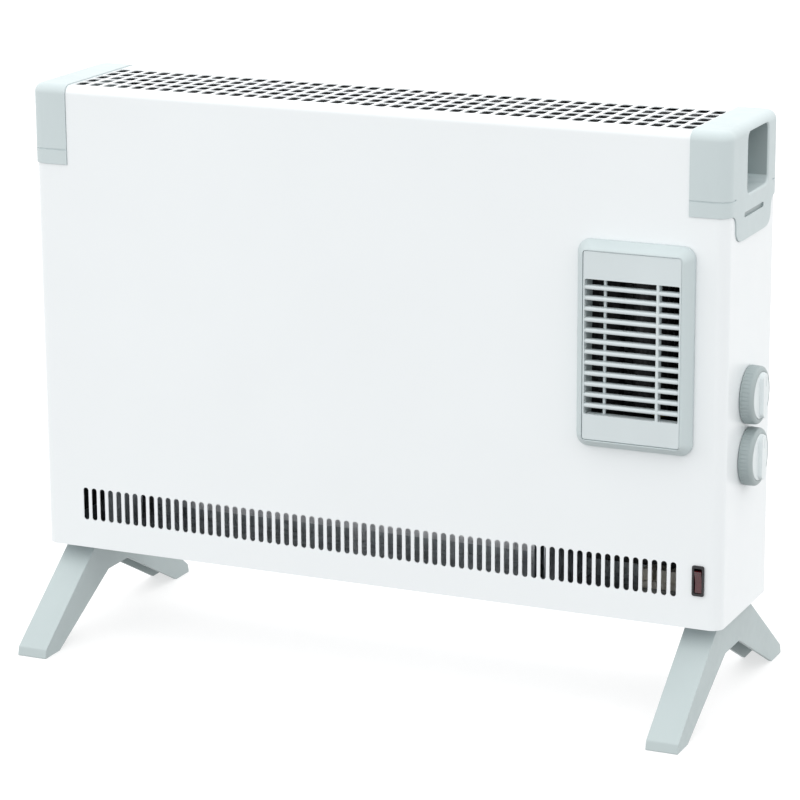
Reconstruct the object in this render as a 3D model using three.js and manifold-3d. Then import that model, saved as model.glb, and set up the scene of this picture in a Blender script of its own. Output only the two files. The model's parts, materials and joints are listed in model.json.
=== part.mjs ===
// Portable fan convector heater: a flat sheet-metal cabinet on two splayed feet, with moulded end
// caps that are also hand-holds, a perforated top, an intake row along the bottom of the front, a
// louvred fan outlet, two rotary controls on the right side and a rocker switch on the front.
//
// Millimetres, +Z up. X runs along the heater, Y from front to back, and the floor is Z = 0.
// Everything is drawn around the middle of the cabinet; the last lines shift the finished model
// sideways, so that the whole heater, knobs included, stands centred on the origin.

import * as THREE from "three";
import { mergeVertices } from "three/addons/utils/BufferGeometryUtils.js";
import Module from "manifold-3d";

const wasm = await Module();
wasm.setup();

// ---------- driving dimensions ----------

const GAP = 0.3;               // clearance between pieces that touch
const SHEET = 0.8;             // cabinet sheet
const THIN_SHEET = 0.7;        // inner sheet-metal parts
const WALL = 2.5;              // moulded plastic wall

const HALF_WIDTH = 310;        // cabinet, half of its 620 mm
const HALF_DEPTH = 61;         // cabinet, half of its 122 mm
const BASE_Z = 81;             // underside of the cabinet
const TOP_Z = 486;             // top of the cabinet
const FRONT_EDGE_R = 10;       // upright front edges
const BACK_EDGE_R = 10;        // upright back edges
const TOP_EDGE_R = 7;          // edges along the top
const INNER_X = HALF_WIDTH - SHEET;
const INNER_Y = HALF_DEPTH - SHEET;
const FRONT_Y = -HALF_DEPTH;

const BACK_WINDOW_X = 289;     // opening in the back of the cover, half of its width
const BACK_Y = INNER_Y - GAP;  // outer face of the back panel
const BACK_RIM = 9;            // folded rim of the back panel

const CAP_X = 278;             // where an end cap starts, along the cabinet
const CAP_Z = 419;             // lower edge of the cap on front and back
const CAP_PROUD = 1;           // the cap stands this far out of the sheet
const TONGUE = { z: 395.5, x: 303, flat: 27, drop: 43, shoulder: 54 };  // the cap's side, lower edge
const CAP_GROOVE = { z: 431, deep: 0.7, wide: 1.2 };
const HOLD = { y0: -17, y1: 35, z0: 431, z1: 480, depth: 28, round: 7 };
const HOLD_SLIT = { y0: -24, y1: 24, z: 415.5, height: 4, deep: 1.7 };

const GRILLE_FRONT_Y = -52;    // front edge of the top grille
const GRILLE_PITCH_X = 13.2;
const GRILLE_PITCH_Y = 17.5;
const GRILLE_COLUMNS = 42;
const GRILLE_ROWS = 5;
const GRILLE_HOLE = { x: 10, y: 15.2 };
const GRILLE_FIRST_Y = -42;    // middle of the first row of holes

const INTAKE_SLOTS = 68;
const BACK_SLOTS = 44;
const BACK_SLOTS_X = -64;      // middle of the row at the back, behind the heating side only
const INTAKE_PITCH = 8.05;
const INTAKE_SLOT = { width: 5, z0: 106, z1: 135 };
const BASE_SLOTS = { count: 14, pitch: 36, half: 8, y0: -50, y1: 2 };

const BEZEL = { x0: 186.5, x1: 284.5, z0: 225, z1: 395, proud: 12, slope: 6.4, round: 10, rim: 7.4 };
const OUTLET = { x0: BEZEL.x0 + BEZEL.rim, x1: BEZEL.x1 - BEZEL.rim, z0: BEZEL.z0 + BEZEL.rim,
  z1: BEZEL.z1 - BEZEL.rim };
const LOUVRE_SLOTS = 13;
const LOUVRE_PITCH = 8.8;
const LOUVRE_SLOT_H = 5.4;
const LOUVRE_SIDE = 1.8;       // from the outlet's side to the ends of the slots
const LOUVRE_TOP_Z = 364.6;    // top of the uppermost slot
const LOUVRE_RIBS = [211, 257];
const LOUVRE_BACK_Y = FRONT_Y - BEZEL.proud + 3.8;

const FAN = { x: 235, y: 2, z0: 246, z1: 374, radius: 25, blades: 14, shaft: 3 };
const PLATE_LOW = FAN.z0 - 8;  // end plates of the fan casing
const PLATE_HIGH = FAN.z1 + 4;
const MOTOR = { z0: 204, z1: 222, core: 23, bore: 13, rotor: 12 };

const KNOB = { radius: 24, proud: 15, y: -2, upper: 264.5, lower: 213.1, shaft: 3 };
const CONTROL_X = INNER_X - GAP;

const ROCKER = { x: 291, z: 122, width: 6.8, height: 21, frameWidth: 10.4, frameHeight: 25.6,
  tilt: 8, pivot: 6, flange: 1.4 };
const ROCKER_FACE_Y = FRONT_Y - GAP - ROCKER.flange;

const FOOT = { inner: 273.6, outer: 300.8, wall: 2.8, web: 3.2, topHalf: 34, shoulder: 131,
  tip: 133, toe: 8, heel: 108, archHalf: 18, archDrop: 33 };
const FOOT_SCREW_Y = [-16, 16];
const FOOT_MID = (FOOT.inner + FOOT.outer) / 2;
const FOOT_TOP = BASE_Z - GAP;

const ON_BASE = BASE_Z + SHEET + GAP;  // what stands on the bottom plate starts here
const INNER_TOP_Z = 440;       // top of the sheets inside
const DIVIDER_X = 152;         // sheet between the heating side and the fan side
const ELEMENT = { x0: -262, x1: 134, half: 17, board: 1.6 };
const RIBBON = { width: 2.4, thick: 0.7, turns: 13 };
const ELEMENT_Z = [172, 226];
const FRONT_SHIELD = { y: -51, low: 140, tabHigh: 256, standTab: -28, dividerTab: -38 };
const BACK_SHIELD = { y: 46, low: 92, x0: -272, x1: 144 };
const GLAND = { x: 262, z: 118, bore: 4 };
const BACK_SCREWS = [[-294, 160], [-294, 380], [294, 160], [294, 380]];

// ---------- colours ----------

const LOOKS = {
  white_paint: [0xeef1f2, 0.42, 0],
  grey_plastic: [0xc3ced1, 0.5, 0],
  pale_plastic: [0xd6dfe1, 0.45, 0],
  knob_plastic: [0xa4afb0, 0.5, 0],
  black_plastic: [0x1b1c1e, 0.4, 0],
  neon_red: [0x8a1420, 0.25, 0],
  bright_steel: [0xb9bcc0, 0.35, 0.9],
  galvanised: [0x9da3a6, 0.5, 0.8],
  aluminium: [0xcfd2d4, 0.3, 0.9],
  blackened: [0x26282a, 0.6, 0.3],
  copper: [0xa75f35, 0.35, 0.9],
  mica: [0xb9a274, 0.8, 0],
  ceramic: [0xe9e6dc, 0.6, 0],
  brass: [0xb59a54, 0.35, 0.9],
};

// ---------- making and joining solids ----------

// A closed three.js geometry as a solid: corners merged, and slivers with no area dropped.
function solid(geometry) {
  const bare = geometry.index ? geometry.toNonIndexed() : geometry.clone();
  bare.deleteAttribute("normal");
  bare.deleteAttribute("uv");
  const merged = mergeVertices(bare, 1e-4);
  const corners = merged.index.array;
  const kept = [];
  for (let i = 0; i < corners.length; i += 3) {
    const [a, b, c] = corners.slice(i, i + 3);
    if (a !== b && b !== c && c !== a) kept.push(a, b, c);
  }
  const vertProperties = new Float32Array(merged.attributes.position.array);
  const triVerts = new Uint32Array(kept);
  return new wasm.Manifold(new wasm.Mesh({ numProp: 3, vertProperties, triVerts }));
}

function geometryOf(manifold) {
  const { vertProperties, triVerts } = manifold.getMesh();
  const geometry = new THREE.BufferGeometry();
  geometry.setAttribute("position", new THREE.BufferAttribute(new Float32Array(vertProperties), 3));
  geometry.setIndex(new THREE.BufferAttribute(new Uint32Array(triVerts), 1));
  const flat = geometry.toNonIndexed();
  flat.computeVertexNormals();
  return flat;
}

function joined(solids) {
  return solids.reduce((whole, next) => whole.add(next));
}

function block(x0, x1, y0, y1, z0, z1) {
  const geometry = new THREE.BoxGeometry(x1 - x0, y1 - y0, z1 - z0);
  geometry.translate((x0 + x1) / 2, (y0 + y1) / 2, (z0 + z1) / 2);
  return solid(geometry);
}

// Turns that carry a shape's own X, Y and thickness onto two named axes of the model and the third.
const ONTO = {
  xy: new THREE.Matrix4(),
  yz: new THREE.Matrix4().makeBasis(
    new THREE.Vector3(0, 1, 0), new THREE.Vector3(0, 0, 1), new THREE.Vector3(1, 0, 0)),
  zx: new THREE.Matrix4().makeBasis(
    new THREE.Vector3(0, 0, 1), new THREE.Vector3(1, 0, 0), new THREE.Vector3(0, 1, 0)),
};

// A flat shape made thick, from `from` to `to` along the axis that the plane leaves free.
function slab(shape, plane, from, to, curveSegments = 6) {
  const geometry = new THREE.ExtrudeGeometry(shape, { depth: to - from, bevelEnabled: false, curveSegments });
  geometry.translate(0, 0, from);
  geometry.applyMatrix4(ONTO[plane]);
  return solid(geometry);
}

// A round bar between two heights of its axis; u and v place the axis on the other two, in order.
function bar(axis, from, to, u, v, radius, sides = 16) {
  const shape = new THREE.Shape();
  shape.absarc(u, v, radius, 0, Math.PI * 2);
  const plane = { z: "xy", x: "yz", y: "zx" }[axis];
  return slab(shape, plane, from, to, sides / 2);
}

// A body of revolution about the X axis, from points of [radius, x].
function turnedAlongX(points, sides) {
  const profile = points.map(([radius, along]) => new THREE.Vector2(radius, along));
  const geometry = new THREE.LatheGeometry(profile, sides);
  geometry.rotateZ(-Math.PI / 2);
  return solid(geometry);
}

function outline(points) {
  const shape = new THREE.Shape();
  points.forEach(([u, v], i) => (i ? shape.lineTo(u, v) : shape.moveTo(u, v)));
  shape.closePath();
  return shape;
}

function roundedRect(u0, u1, v0, v1, round) {
  const shape = new THREE.Shape();
  shape.absarc(u1 - round, v0 + round, round, -Math.PI / 2, 0);
  shape.absarc(u1 - round, v1 - round, round, 0, Math.PI / 2);
  shape.absarc(u0 + round, v1 - round, round, Math.PI / 2, Math.PI);
  shape.absarc(u0 + round, v0 + round, round, Math.PI, Math.PI * 1.5);
  shape.closePath();
  return shape;
}

// ---------- the scene ----------

const heater = new THREE.Group();

function add(name, look, manifold, place = [0, 0, 0]) {
  const [color, roughness, metalness] = LOOKS[look];
  const material = new THREE.MeshStandardMaterial({ color, roughness, metalness });
  const mesh = new THREE.Mesh(geometryOf(manifold), material);
  mesh.name = name;
  mesh.position.set(...place);
  heater.add(mesh);
}

// ---------- cabinet ----------

// Plan of the cabinet, drawn in by `inset` all round, with its own radius at front and back.
function plan(inset, back = HALF_DEPTH - inset) {
  const x = HALF_WIDTH - inset;
  const front = FRONT_EDGE_R - inset;
  const rear = BACK_EDGE_R - inset;
  const shape = new THREE.Shape();
  shape.absarc(x - front, -HALF_DEPTH + inset + front, front, -Math.PI / 2, 0);
  shape.absarc(x - rear, back - rear, rear, 0, Math.PI / 2);
  shape.absarc(-x + rear, back - rear, rear, Math.PI / 2, Math.PI);
  shape.absarc(-x + front, -HALF_DEPTH + inset + front, front, Math.PI, Math.PI * 1.5);
  shape.closePath();
  return shape;
}

// The cabinet as a full block, with its edges rounded along the top; it runs on below the base.
function cabinetBlock(inset) {
  const round = TOP_EDGE_R - Math.max(inset, 0);
  const depth = TOP_Z - inset - BASE_Z;
  const geometry = new THREE.ExtrudeGeometry(plan(inset), {
    depth,
    bevelThickness: round,
    bevelSize: round,
    bevelOffset: -round,
    bevelSegments: 3,
    curveSegments: 5,
  });
  geometry.translate(0, 0, BASE_Z - round);
  return solid(geometry);
}

const belowBase = block(-400, 400, -100, 100, 0, BASE_Z);
const cabinetShell = cabinetBlock(0).subtract(cabinetBlock(SHEET)).subtract(belowBase);

// Lower edge of an end cap on the side of the cabinet: a shallow tongue with swept corners.
function tongueShape(grow) {
  const { flat, drop, shoulder } = TONGUE;
  const low = TONGUE.z - grow;
  const high = CAP_Z - grow;
  const middle = (low + high) / 2;
  const shape = new THREE.Shape();
  shape.moveTo(-shoulder - grow, high + 5);
  shape.lineTo(-shoulder - grow, high);
  shape.quadraticCurveTo(-drop - grow, high, -drop - grow, middle);
  shape.quadraticCurveTo(-drop - grow, low, -flat, low);
  shape.lineTo(flat, low);
  shape.quadraticCurveTo(drop + grow, low, drop + grow, middle);
  shape.quadraticCurveTo(drop + grow, high, shoulder + grow, high);
  shape.lineTo(shoulder + grow, high + 5);
  shape.closePath();
  return shape;
}

// The space that an end cap takes at one end; `grow` adds the clearance for what lies around it.
function capSpace(side, grow) {
  const inner = CAP_X - grow;
  const upper = side > 0 ? block(inner, 330, -90, 90, CAP_Z - grow, 520)
    : block(-330, -inner, -90, 90, CAP_Z - grow, 520);
  const tongue = side > 0 ? slab(tongueShape(grow), "yz", TONGUE.x - grow, 330)
    : slab(tongueShape(grow), "yz", -330, -TONGUE.x + grow);
  return upper.add(tongue);
}

const bothCapSpaces = capSpace(1, GAP).add(capSpace(-1, GAP));

function intakeSlots(y0, y1, count, middle = 0) {
  const slots = [];
  for (let i = 0; i < count; i += 1) {
    const x = middle + (i - (count - 1) / 2) * INTAKE_PITCH;
    const half = INTAKE_SLOT.width / 2;
    slots.push(block(x - half, x + half, y0, y1, INTAKE_SLOT.z0, INTAKE_SLOT.z1));
  }
  return joined(slots);
}

function frontCover() {
  let cover = cabinetShell;
  cover = cover.subtract(block(-BACK_WINDOW_X, BACK_WINDOW_X, 50, 70, 0, 600));
  cover = cover.subtract(block(-CAP_X, CAP_X, GRILLE_FRONT_Y, 70, 470, 600));
  cover = cover.subtract(bothCapSpaces);
  cover = cover.subtract(intakeSlots(FRONT_Y - 5, FRONT_Y + 5, INTAKE_SLOTS));
  cover = cover.subtract(block(OUTLET.x0, OUTLET.x1, FRONT_Y - 5, FRONT_Y + 5, OUTLET.z0, OUTLET.z1));
  const halfCut = ROCKER.frameWidth / 2 - 0.7;
  const halfCutHeight = ROCKER.frameHeight / 2 - 1.1;
  cover = cover.subtract(block(ROCKER.x - halfCut, ROCKER.x + halfCut, FRONT_Y - 5, FRONT_Y + 5,
    ROCKER.z - halfCutHeight, ROCKER.z + halfCutHeight));
  for (const z of [KNOB.upper, KNOB.lower]) {
    cover = cover.subtract(bar("x", HALF_WIDTH - 5, HALF_WIDTH + 5, KNOB.y, z, 5));
  }
  for (const [x, z] of BACK_SCREWS) {
    cover = cover.subtract(bar("y", 50, 70, z, x, 2.1, 12));
  }
  return cover;
}

function topGrille() {
  const half = CAP_X - GAP;
  let grille = cabinetShell.intersect(block(-half, half, GRILLE_FRONT_Y + GAP, 70, 470, 600));
  for (let row = 0; row < GRILLE_ROWS; row += 1) {
    const y = GRILLE_FIRST_Y + row * GRILLE_PITCH_Y;
    const holes = [];
    for (let column = 0; column < GRILLE_COLUMNS; column += 1) {
      const x = (column - (GRILLE_COLUMNS - 1) / 2) * GRILLE_PITCH_X;
      holes.push(block(x - GRILLE_HOLE.x / 2, x + GRILLE_HOLE.x / 2,
        y - GRILLE_HOLE.y / 2, y + GRILLE_HOLE.y / 2, TOP_Z - 5, TOP_Z + 5));
    }
    grille = grille.subtract(joined(holes));
  }
  return grille;
}

// Back panel: a flat sheet inside the cover's back flanges, with a folded rim all round.
function backPanelBlock(inset, y0, y1) {
  const low = block(-299 + inset, 299 - inset, y0, y1, BASE_Z + 0.2 + inset, CAP_Z - 1 - inset);
  const high = block(-276 + inset, 276 - inset, y0, y1, CAP_Z - 20, TOP_Z - TOP_EDGE_R - 1 - inset);
  return low.add(high);
}

function backPanel() {
  let panel = backPanelBlock(0, BACK_Y - BACK_RIM, BACK_Y);
  panel = panel.subtract(backPanelBlock(SHEET, BACK_Y - BACK_RIM - 5, BACK_Y - SHEET));
  panel = panel.subtract(intakeSlots(BACK_Y - 5, BACK_Y + 5, BACK_SLOTS, BACK_SLOTS_X));
  for (const [x, z] of BACK_SCREWS) {
    panel = panel.subtract(bar("y", BACK_Y - 5, BACK_Y + 5, z, x, 2.1, 12));
  }
  panel = panel.subtract(bar("y", BACK_Y - 5, BACK_Y + 5, GLAND.z, GLAND.x, 7.6, 16));
  return panel;
}

function bottomPlate() {
  const back = BACK_Y - BACK_RIM - 1;
  const sheet = slab(plan(SHEET + GAP, back), "xy", BASE_Z, BASE_Z + 11, 5);
  const hollow = slab(plan(2 * SHEET + GAP, back - SHEET), "xy", BASE_Z + SHEET, BASE_Z + 20, 5);
  let plate = sheet.subtract(hollow);
  const { count, pitch, half, y0, y1 } = BASE_SLOTS;
  for (let i = 0; i < count; i += 1) {
    const x = (i - (count - 1) / 2) * pitch;
    plate = plate.subtract(block(x - half, x + half, y0, y1, BASE_Z - 5, BASE_Z + 5));
  }
  for (const side of [-1, 1]) {
    for (const y of FOOT_SCREW_Y) {
      plate = plate.subtract(bar("z", BASE_Z - 5, BASE_Z + 5, side * FOOT_MID, y, 2.3, 12));
    }
  }
  return plate;
}

// ---------- end caps ----------

function endCap(side) {
  const outer = cabinetBlock(-CAP_PROUD);
  const inner = cabinetBlock(WALL - CAP_PROUD);
  let cap = outer.subtract(inner);
  const face = HALF_WIDTH + CAP_PROUD;
  const bottom = face - HOLD.depth;
  const grown = WALL - 0.5;
  const ends = side > 0 ? [bottom - grown, face - 1] : [-face + 1, -bottom + grown];
  const mouth = side > 0 ? [bottom, face + 5] : [-face - 5, -bottom];
  const cup = roundedRect(HOLD.y0 - grown, HOLD.y1 + grown, HOLD.z0 - grown, HOLD.z1 + grown, HOLD.round);
  const well = roundedRect(HOLD.y0, HOLD.y1, HOLD.z0, HOLD.z1, HOLD.round - 1);
  cap = cap.add(slab(cup, "yz", ends[0], ends[1]).intersect(outer));
  cap = cap.subtract(slab(well, "yz", mouth[0], mouth[1]));
  cap = cap.intersect(capSpace(side, 0));
  for (const y of [-HALF_DEPTH - CAP_PROUD, HALF_DEPTH + CAP_PROUD]) {
    cap = cap.subtract(block(-400, 400, y - CAP_GROOVE.deep, y + CAP_GROOVE.deep,
      CAP_GROOVE.z, CAP_GROOVE.z + CAP_GROOVE.wide));
  }
  const slit = [HOLD_SLIT.z - HOLD_SLIT.height / 2, HOLD_SLIT.z + HOLD_SLIT.height / 2];
  const span = side > 0 ? [face - HOLD_SLIT.deep, face + 5] : [-face - 5, -face + HOLD_SLIT.deep];
  return cap.subtract(block(span[0], span[1], HOLD_SLIT.y0, HOLD_SLIT.y1, slit[0], slit[1]));
}

// ---------- feet ----------

// Side view of a foot, front half then back half: a flat top, two splayed legs and an arch.
function footOutline() {
  const half = [[FOOT.topHalf, FOOT_TOP], [FOOT.shoulder, FOOT.toe], [FOOT.tip, 0], [FOOT.heel, 0],
    [FOOT.archHalf, FOOT_TOP - FOOT.archDrop]];
  const mirrored = half.map(([y, z]) => [-y, z]).reverse();
  return outline([...half, ...mirrored]);
}

// The hollow inside a foot, open along the whole of its underside.
function footHollow() {
  const drop = FOOT.web * 1.25;
  const half = [[FOOT.topHalf - 1, FOOT_TOP - FOOT.web], [FOOT.shoulder - FOOT.web, FOOT.toe - drop + 1],
    [FOOT.shoulder - FOOT.web, -5]];
  const mirrored = half.map(([y, z]) => [-y, z]).reverse();
  return outline([...half, ...mirrored]);
}

function foot(side) {
  const span = (inset) => (side > 0 ? [FOOT.inner + inset, FOOT.outer - inset]
    : [-FOOT.outer + inset, -FOOT.inner - inset]);
  let piece = slab(footOutline(), "yz", ...span(0));
  piece = piece.subtract(slab(footHollow(), "yz", ...span(FOOT.wall)));
  for (const y of FOOT_SCREW_Y) {
    piece = piece.add(bar("z", FOOT_TOP - FOOT.web - 9, FOOT_TOP - FOOT.web + 1, side * FOOT_MID, y, 7, 20));
    piece = piece.subtract(bar("z", FOOT_TOP - 40, FOOT_TOP - FOOT.web - 1, side * FOOT_MID, y, 4.9, 20));
    piece = piece.subtract(bar("z", FOOT_TOP - 40, FOOT_TOP + 5, side * FOOT_MID, y, 2.3, 12));
  }
  return piece;
}

// Screw from inside the foot up into the cabinet, drawn from the underside of its seat.
function footScrew() {
  return bar("z", -2.6, 0, 0, 0, 4.2, 12).add(bar("z", -0.5, 13, 0, 0, 2, 12));
}

// Screw that holds the back panel to the cover, drawn from the cover's outer face.
function backScrew() {
  return bar("y", GAP, GAP + 2, 0, 0, 3.6, 12).add(bar("y", -7.5, GAP + 0.5, 0, 0, 1.8, 12));
}

// ---------- fan outlet ----------

function bezel() {
  const front = FRONT_Y - GAP;
  const wide = roundedRect(BEZEL.x0, BEZEL.x1, BEZEL.z0, BEZEL.z1, BEZEL.round);
  const points = wide.getPoints(6);
  const middle = [(BEZEL.x0 + BEZEL.x1) / 2, (BEZEL.z0 + BEZEL.z1) / 2];
  // A rim that slopes in from the sheet to the flat front: rings of corners, joined ring to ring.
  const rings = [[0, 0], [3, 0], [BEZEL.proud - 2, BEZEL.slope - 2], [BEZEL.proud, BEZEL.slope]];
  const body = ringSolid(points.slice(0, -1), middle, rings, front);
  const opening = block(OUTLET.x0, OUTLET.x1, -90, 0, OUTLET.z0, OUTLET.z1);
  const collar = block(OUTLET.x0 + GAP, OUTLET.x1 - GAP, front - 1, front + 6,
    OUTLET.z0 + GAP, OUTLET.z1 - GAP);
  const inside = block(OUTLET.x0 + 2, OUTLET.x1 - 2, -90, 0, OUTLET.z0 + 2, OUTLET.z1 - 2);
  const rebate = block(OUTLET.x0, OUTLET.x1, front - 20, LOUVRE_BACK_Y + GAP, OUTLET.z0, OUTLET.z1);
  return body.add(collar).subtract(opening.intersect(rebate)).subtract(inside);
}

// A solid between rings of the same corners, each ring set back and drawn in from the first one.
function ringSolid(points, middle, rings, y) {
  const vertices = [];
  for (const [forward, inward] of rings) {
    for (const point of points) {
      const across = point.x - middle[0];
      const up = point.y - middle[1];
      vertices.push(point.x - Math.sign(across) * inward, y - forward, point.y - Math.sign(up) * inward);
    }
  }
  const count = points.length;
  const faces = [];
  for (let ring = 0; ring < rings.length - 1; ring += 1) {
    for (let i = 0; i < count; i += 1) {
      const a = ring * count + i;
      const b = ring * count + ((i + 1) % count);
      faces.push(a, b, a + count, b, b + count, a + count);
    }
  }
  const last = (rings.length - 1) * count;
  for (let i = 1; i < count - 1; i += 1) {
    faces.push(0, i + 1, i, last, last + i, last + i + 1);
  }
  const geometry = new THREE.BufferGeometry();
  geometry.setAttribute("position", new THREE.Float32BufferAttribute(vertices, 3));
  geometry.setIndex(faces);
  return solid(geometry);
}

function louvre() {
  const back = LOUVRE_BACK_Y;
  const face = back - 3.6;
  let insert = block(OUTLET.x0 + GAP, OUTLET.x1 - GAP, face, back, OUTLET.z0 + GAP, OUTLET.z1 - GAP);
  const box = block(OUTLET.x0 + 3, OUTLET.x1 - 3, back - 1, back + 5, OUTLET.z0 + 3, OUTLET.z1 - 3);
  insert = insert.add(box);
  for (let i = 0; i < LOUVRE_SLOTS; i += 1) {
    const top = LOUVRE_TOP_Z - i * LOUVRE_PITCH;
    const slot = block(OUTLET.x0 + LOUVRE_SIDE, OUTLET.x1 - LOUVRE_SIDE, -90, 0,
      top - LOUVRE_SLOT_H, top);
    insert = insert.subtract(slot);
  }
  const ribs = LOUVRE_RIBS.map((x, i) => block(x - 1.2, x + 1.2, face + (i ? 0 : 3), back + 5,
    OUTLET.z0 + 4, OUTLET.z1 - 4));
  return insert.add(joined(ribs));
}

// ---------- fan ----------

// Cross-flow impeller: three discs carry a cage of curved blades, here each one a slanted strip.
function impeller() {
  const pieces = [];
  const discs = [FAN.z0, (FAN.z0 + FAN.z1) / 2, FAN.z1 - 1.6];
  for (const z of discs) pieces.push(bar("z", z, z + 1.6, FAN.x, FAN.y, FAN.radius, 20));
  for (let i = 0; i < FAN.blades; i += 1) {
    const blade = new THREE.BoxGeometry(8, 0.9, FAN.z1 - FAN.z0 - 1);
    blade.rotateZ(0.6);
    blade.translate(FAN.radius - 4.2, 0, (FAN.z0 + FAN.z1) / 2);
    blade.rotateZ((i / FAN.blades) * Math.PI * 2);
    blade.translate(FAN.x, FAN.y, 0);
    pieces.push(solid(blade));
  }
  pieces.push(bar("z", FAN.z0 - 5, FAN.z0 + 6, FAN.x, FAN.y, 6));
  pieces.push(bar("z", FAN.z1 - 7, FAN.z1 + 1, FAN.x, FAN.y, 6));
  return joined(pieces).subtract(bar("z", FAN.z0 - 20, FAN.z1 + 20, FAN.x, FAN.y, FAN.shaft + GAP));
}

function fanPlate(z) {
  const front = FRONT_Y + 6;
  const shape = outline([[OUTLET.x0 - 4, front], [OUTLET.x1 + 3, front], [OUTLET.x1 + 3, 36],
    [FAN.x - 30, 36], [OUTLET.x0 - 4, 10]]);
  let plate = slab(shape, "xy", z, z + THIN_SHEET);
  plate = plate.subtract(bar("z", z - 5, z + 5, FAN.x, FAN.y, 8.3, 20));
  return plate;
}

// Bush that stands through an end plate, drawn from the plate's underside.
function bearing() {
  const ring = bar("z", -1.2, THIN_SHEET + 1.2, 0, 0, 8, 20);
  return ring.subtract(bar("z", -5, 6, 0, 0, FAN.shaft + GAP));
}

// Bent strip of sheet that follows a run of points in plan, standing between the two end plates.
function standingStrip(points, thickness) {
  const outerSide = [];
  const innerSide = [];
  points.forEach((point, i) => {
    const before = points[Math.max(i - 1, 0)];
    const after = points[Math.min(i + 1, points.length - 1)];
    const along = new THREE.Vector2(after[0] - before[0], after[1] - before[1]).normalize();
    outerSide.push([point[0] + (along.y * thickness) / 2, point[1] - (along.x * thickness) / 2]);
    innerSide.push([point[0] - (along.y * thickness) / 2, point[1] + (along.x * thickness) / 2]);
  });
  const ring = outline([...outerSide, ...innerSide.reverse()]);
  return slab(ring, "xy", PLATE_LOW + THIN_SHEET + GAP, PLATE_HIGH - GAP);
}

// Rear wall of the fan casing: from the outlet's right side it opens as a spiral round the impeller.
function fanScroll() {
  const points = [[OUTLET.x1 - 1, -INNER_Y + 7], [OUTLET.x1 - 1, -30]];
  for (let turn = 0; turn <= 10; turn += 1) {
    const angle = -0.35 + (turn / 10) * 1.75;
    const radius = FAN.radius + 12 - turn * 0.75;
    points.push([FAN.x + radius * Math.cos(angle), FAN.y + radius * Math.sin(angle)]);
  }
  return standingStrip(points, THIN_SHEET);
}

// Front wall of the casing: a short bent tongue close to the impeller, left of the outlet.
function fanTongue() {
  const points = [[OUTLET.x0 + 1, -INNER_Y + 7], [OUTLET.x0 + 1, -38], [FAN.x - 29, -20], [FAN.x - 29, -8],
    [FAN.x - 36, 2]];
  return standingStrip(points, THIN_SHEET);
}

function motorCore() {
  const size = MOTOR.core;
  const shape = roundedRect(FAN.x - size, FAN.x + size, FAN.y - size, FAN.y + 36, 3);
  let core = slab(shape, "xy", MOTOR.z0, MOTOR.z1, 3);
  core = core.subtract(bar("z", MOTOR.z0 - 5, MOTOR.z1 + 5, FAN.x, FAN.y, MOTOR.bore, 24));
  return core.subtract(block(FAN.x - 14, FAN.x + 14, FAN.y + 17, FAN.y + 26, MOTOR.z0 - 5, MOTOR.z1 + 5));
}

function motorCoil() {
  const y = FAN.y + 31;
  const around = block(FAN.x - 13.4, FAN.x + 13.4, y - 12, y + 12, MOTOR.z0 - 8, MOTOR.z1 + 8);
  const hole = block(FAN.x - 20, FAN.x + 20, y - 5 - GAP, y + 5 + GAP, MOTOR.z0 - GAP, MOTOR.z1 + GAP);
  return around.subtract(hole);
}

function motorRotor() {
  const body = bar("z", MOTOR.z0 - 1, MOTOR.z1 + 1, FAN.x, FAN.y, MOTOR.rotor, 24);
  return body.subtract(bar("z", MOTOR.z0 - 5, MOTOR.z1 + 5, FAN.x, FAN.y, FAN.shaft + GAP, 16));
}

// Bridge that hangs the motor under the lower end plate and holds the shaft's lower end.
function motorBracket() {
  const low = MOTOR.z0 - 7;
  const half = MOTOR.core + 1 + THIN_SHEET;
  const legs = [-1, 1].map((side) => {
    const x = FAN.x + side * (half - THIN_SHEET / 2);
    return block(x - THIN_SHEET / 2, x + THIN_SHEET / 2, FAN.y - 8, FAN.y + 8, low, PLATE_LOW - GAP);
  });
  const bridge = block(FAN.x - half, FAN.x + half, FAN.y - 8, FAN.y + 8, low, low + THIN_SHEET);
  const boss = bar("z", low - 3, low + 3, FAN.x, FAN.y, 6, 16);
  const bore = bar("z", low - 9, low + 9, FAN.x, FAN.y, FAN.shaft + GAP, 16);
  return joined([bridge, boss, ...legs]).subtract(bore);
}

function fanShaft() {
  return bar("z", MOTOR.z0 - 12, FAN.z1 + 9, FAN.x, FAN.y, FAN.shaft, 16);
}

// ---------- controls ----------

// Knob: a disc with a rounded rim and a raised grip bar across its face, drawn about its own axis.
function knob() {
  const base = HALF_WIDTH + GAP;
  const face = HALF_WIDTH + KNOB.proud;
  const r = KNOB.radius;
  const profile = [[0, base], [r - 0.6, base], [r, base + 1], [r - 0.8, face - 6.5], [r - 2.2, face - 4.4],
    [r - 4.5, face - 3.6], [0, face - 3.6]];
  const disc = turnedAlongX(profile, 36);
  const grip = roundedRect(-5, 5, -r + 4, r - 4, 4.9);
  const whole = disc.add(slab(grip, "yz", face - 6, face));
  return whole.subtract(bar("x", base - 5, base + 8, 0, 0, KNOB.shaft + GAP));
}

function spindle() {
  return bar("x", CONTROL_X - 14, HALF_WIDTH + 8, 0, 0, KNOB.shaft);
}

// Body of a rotary control behind the plate, with two tags for its wires.
function controlBody(half, depth, round) {
  const outer = roundedRect(-half, half, -half, half, round);
  const face = CONTROL_X - THIN_SHEET - GAP;
  const body = slab(outer, "yz", face - depth, face, 4);
  const tags = [-9, 9].map((y) => block(face - depth - 7, face - depth + 1, y - 3, y + 3, -0.4, 0.4));
  return joined([body, ...tags]).subtract(bar("x", CONTROL_X - 15, CONTROL_X + 5, 0, 0, KNOB.shaft + GAP));
}

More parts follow.
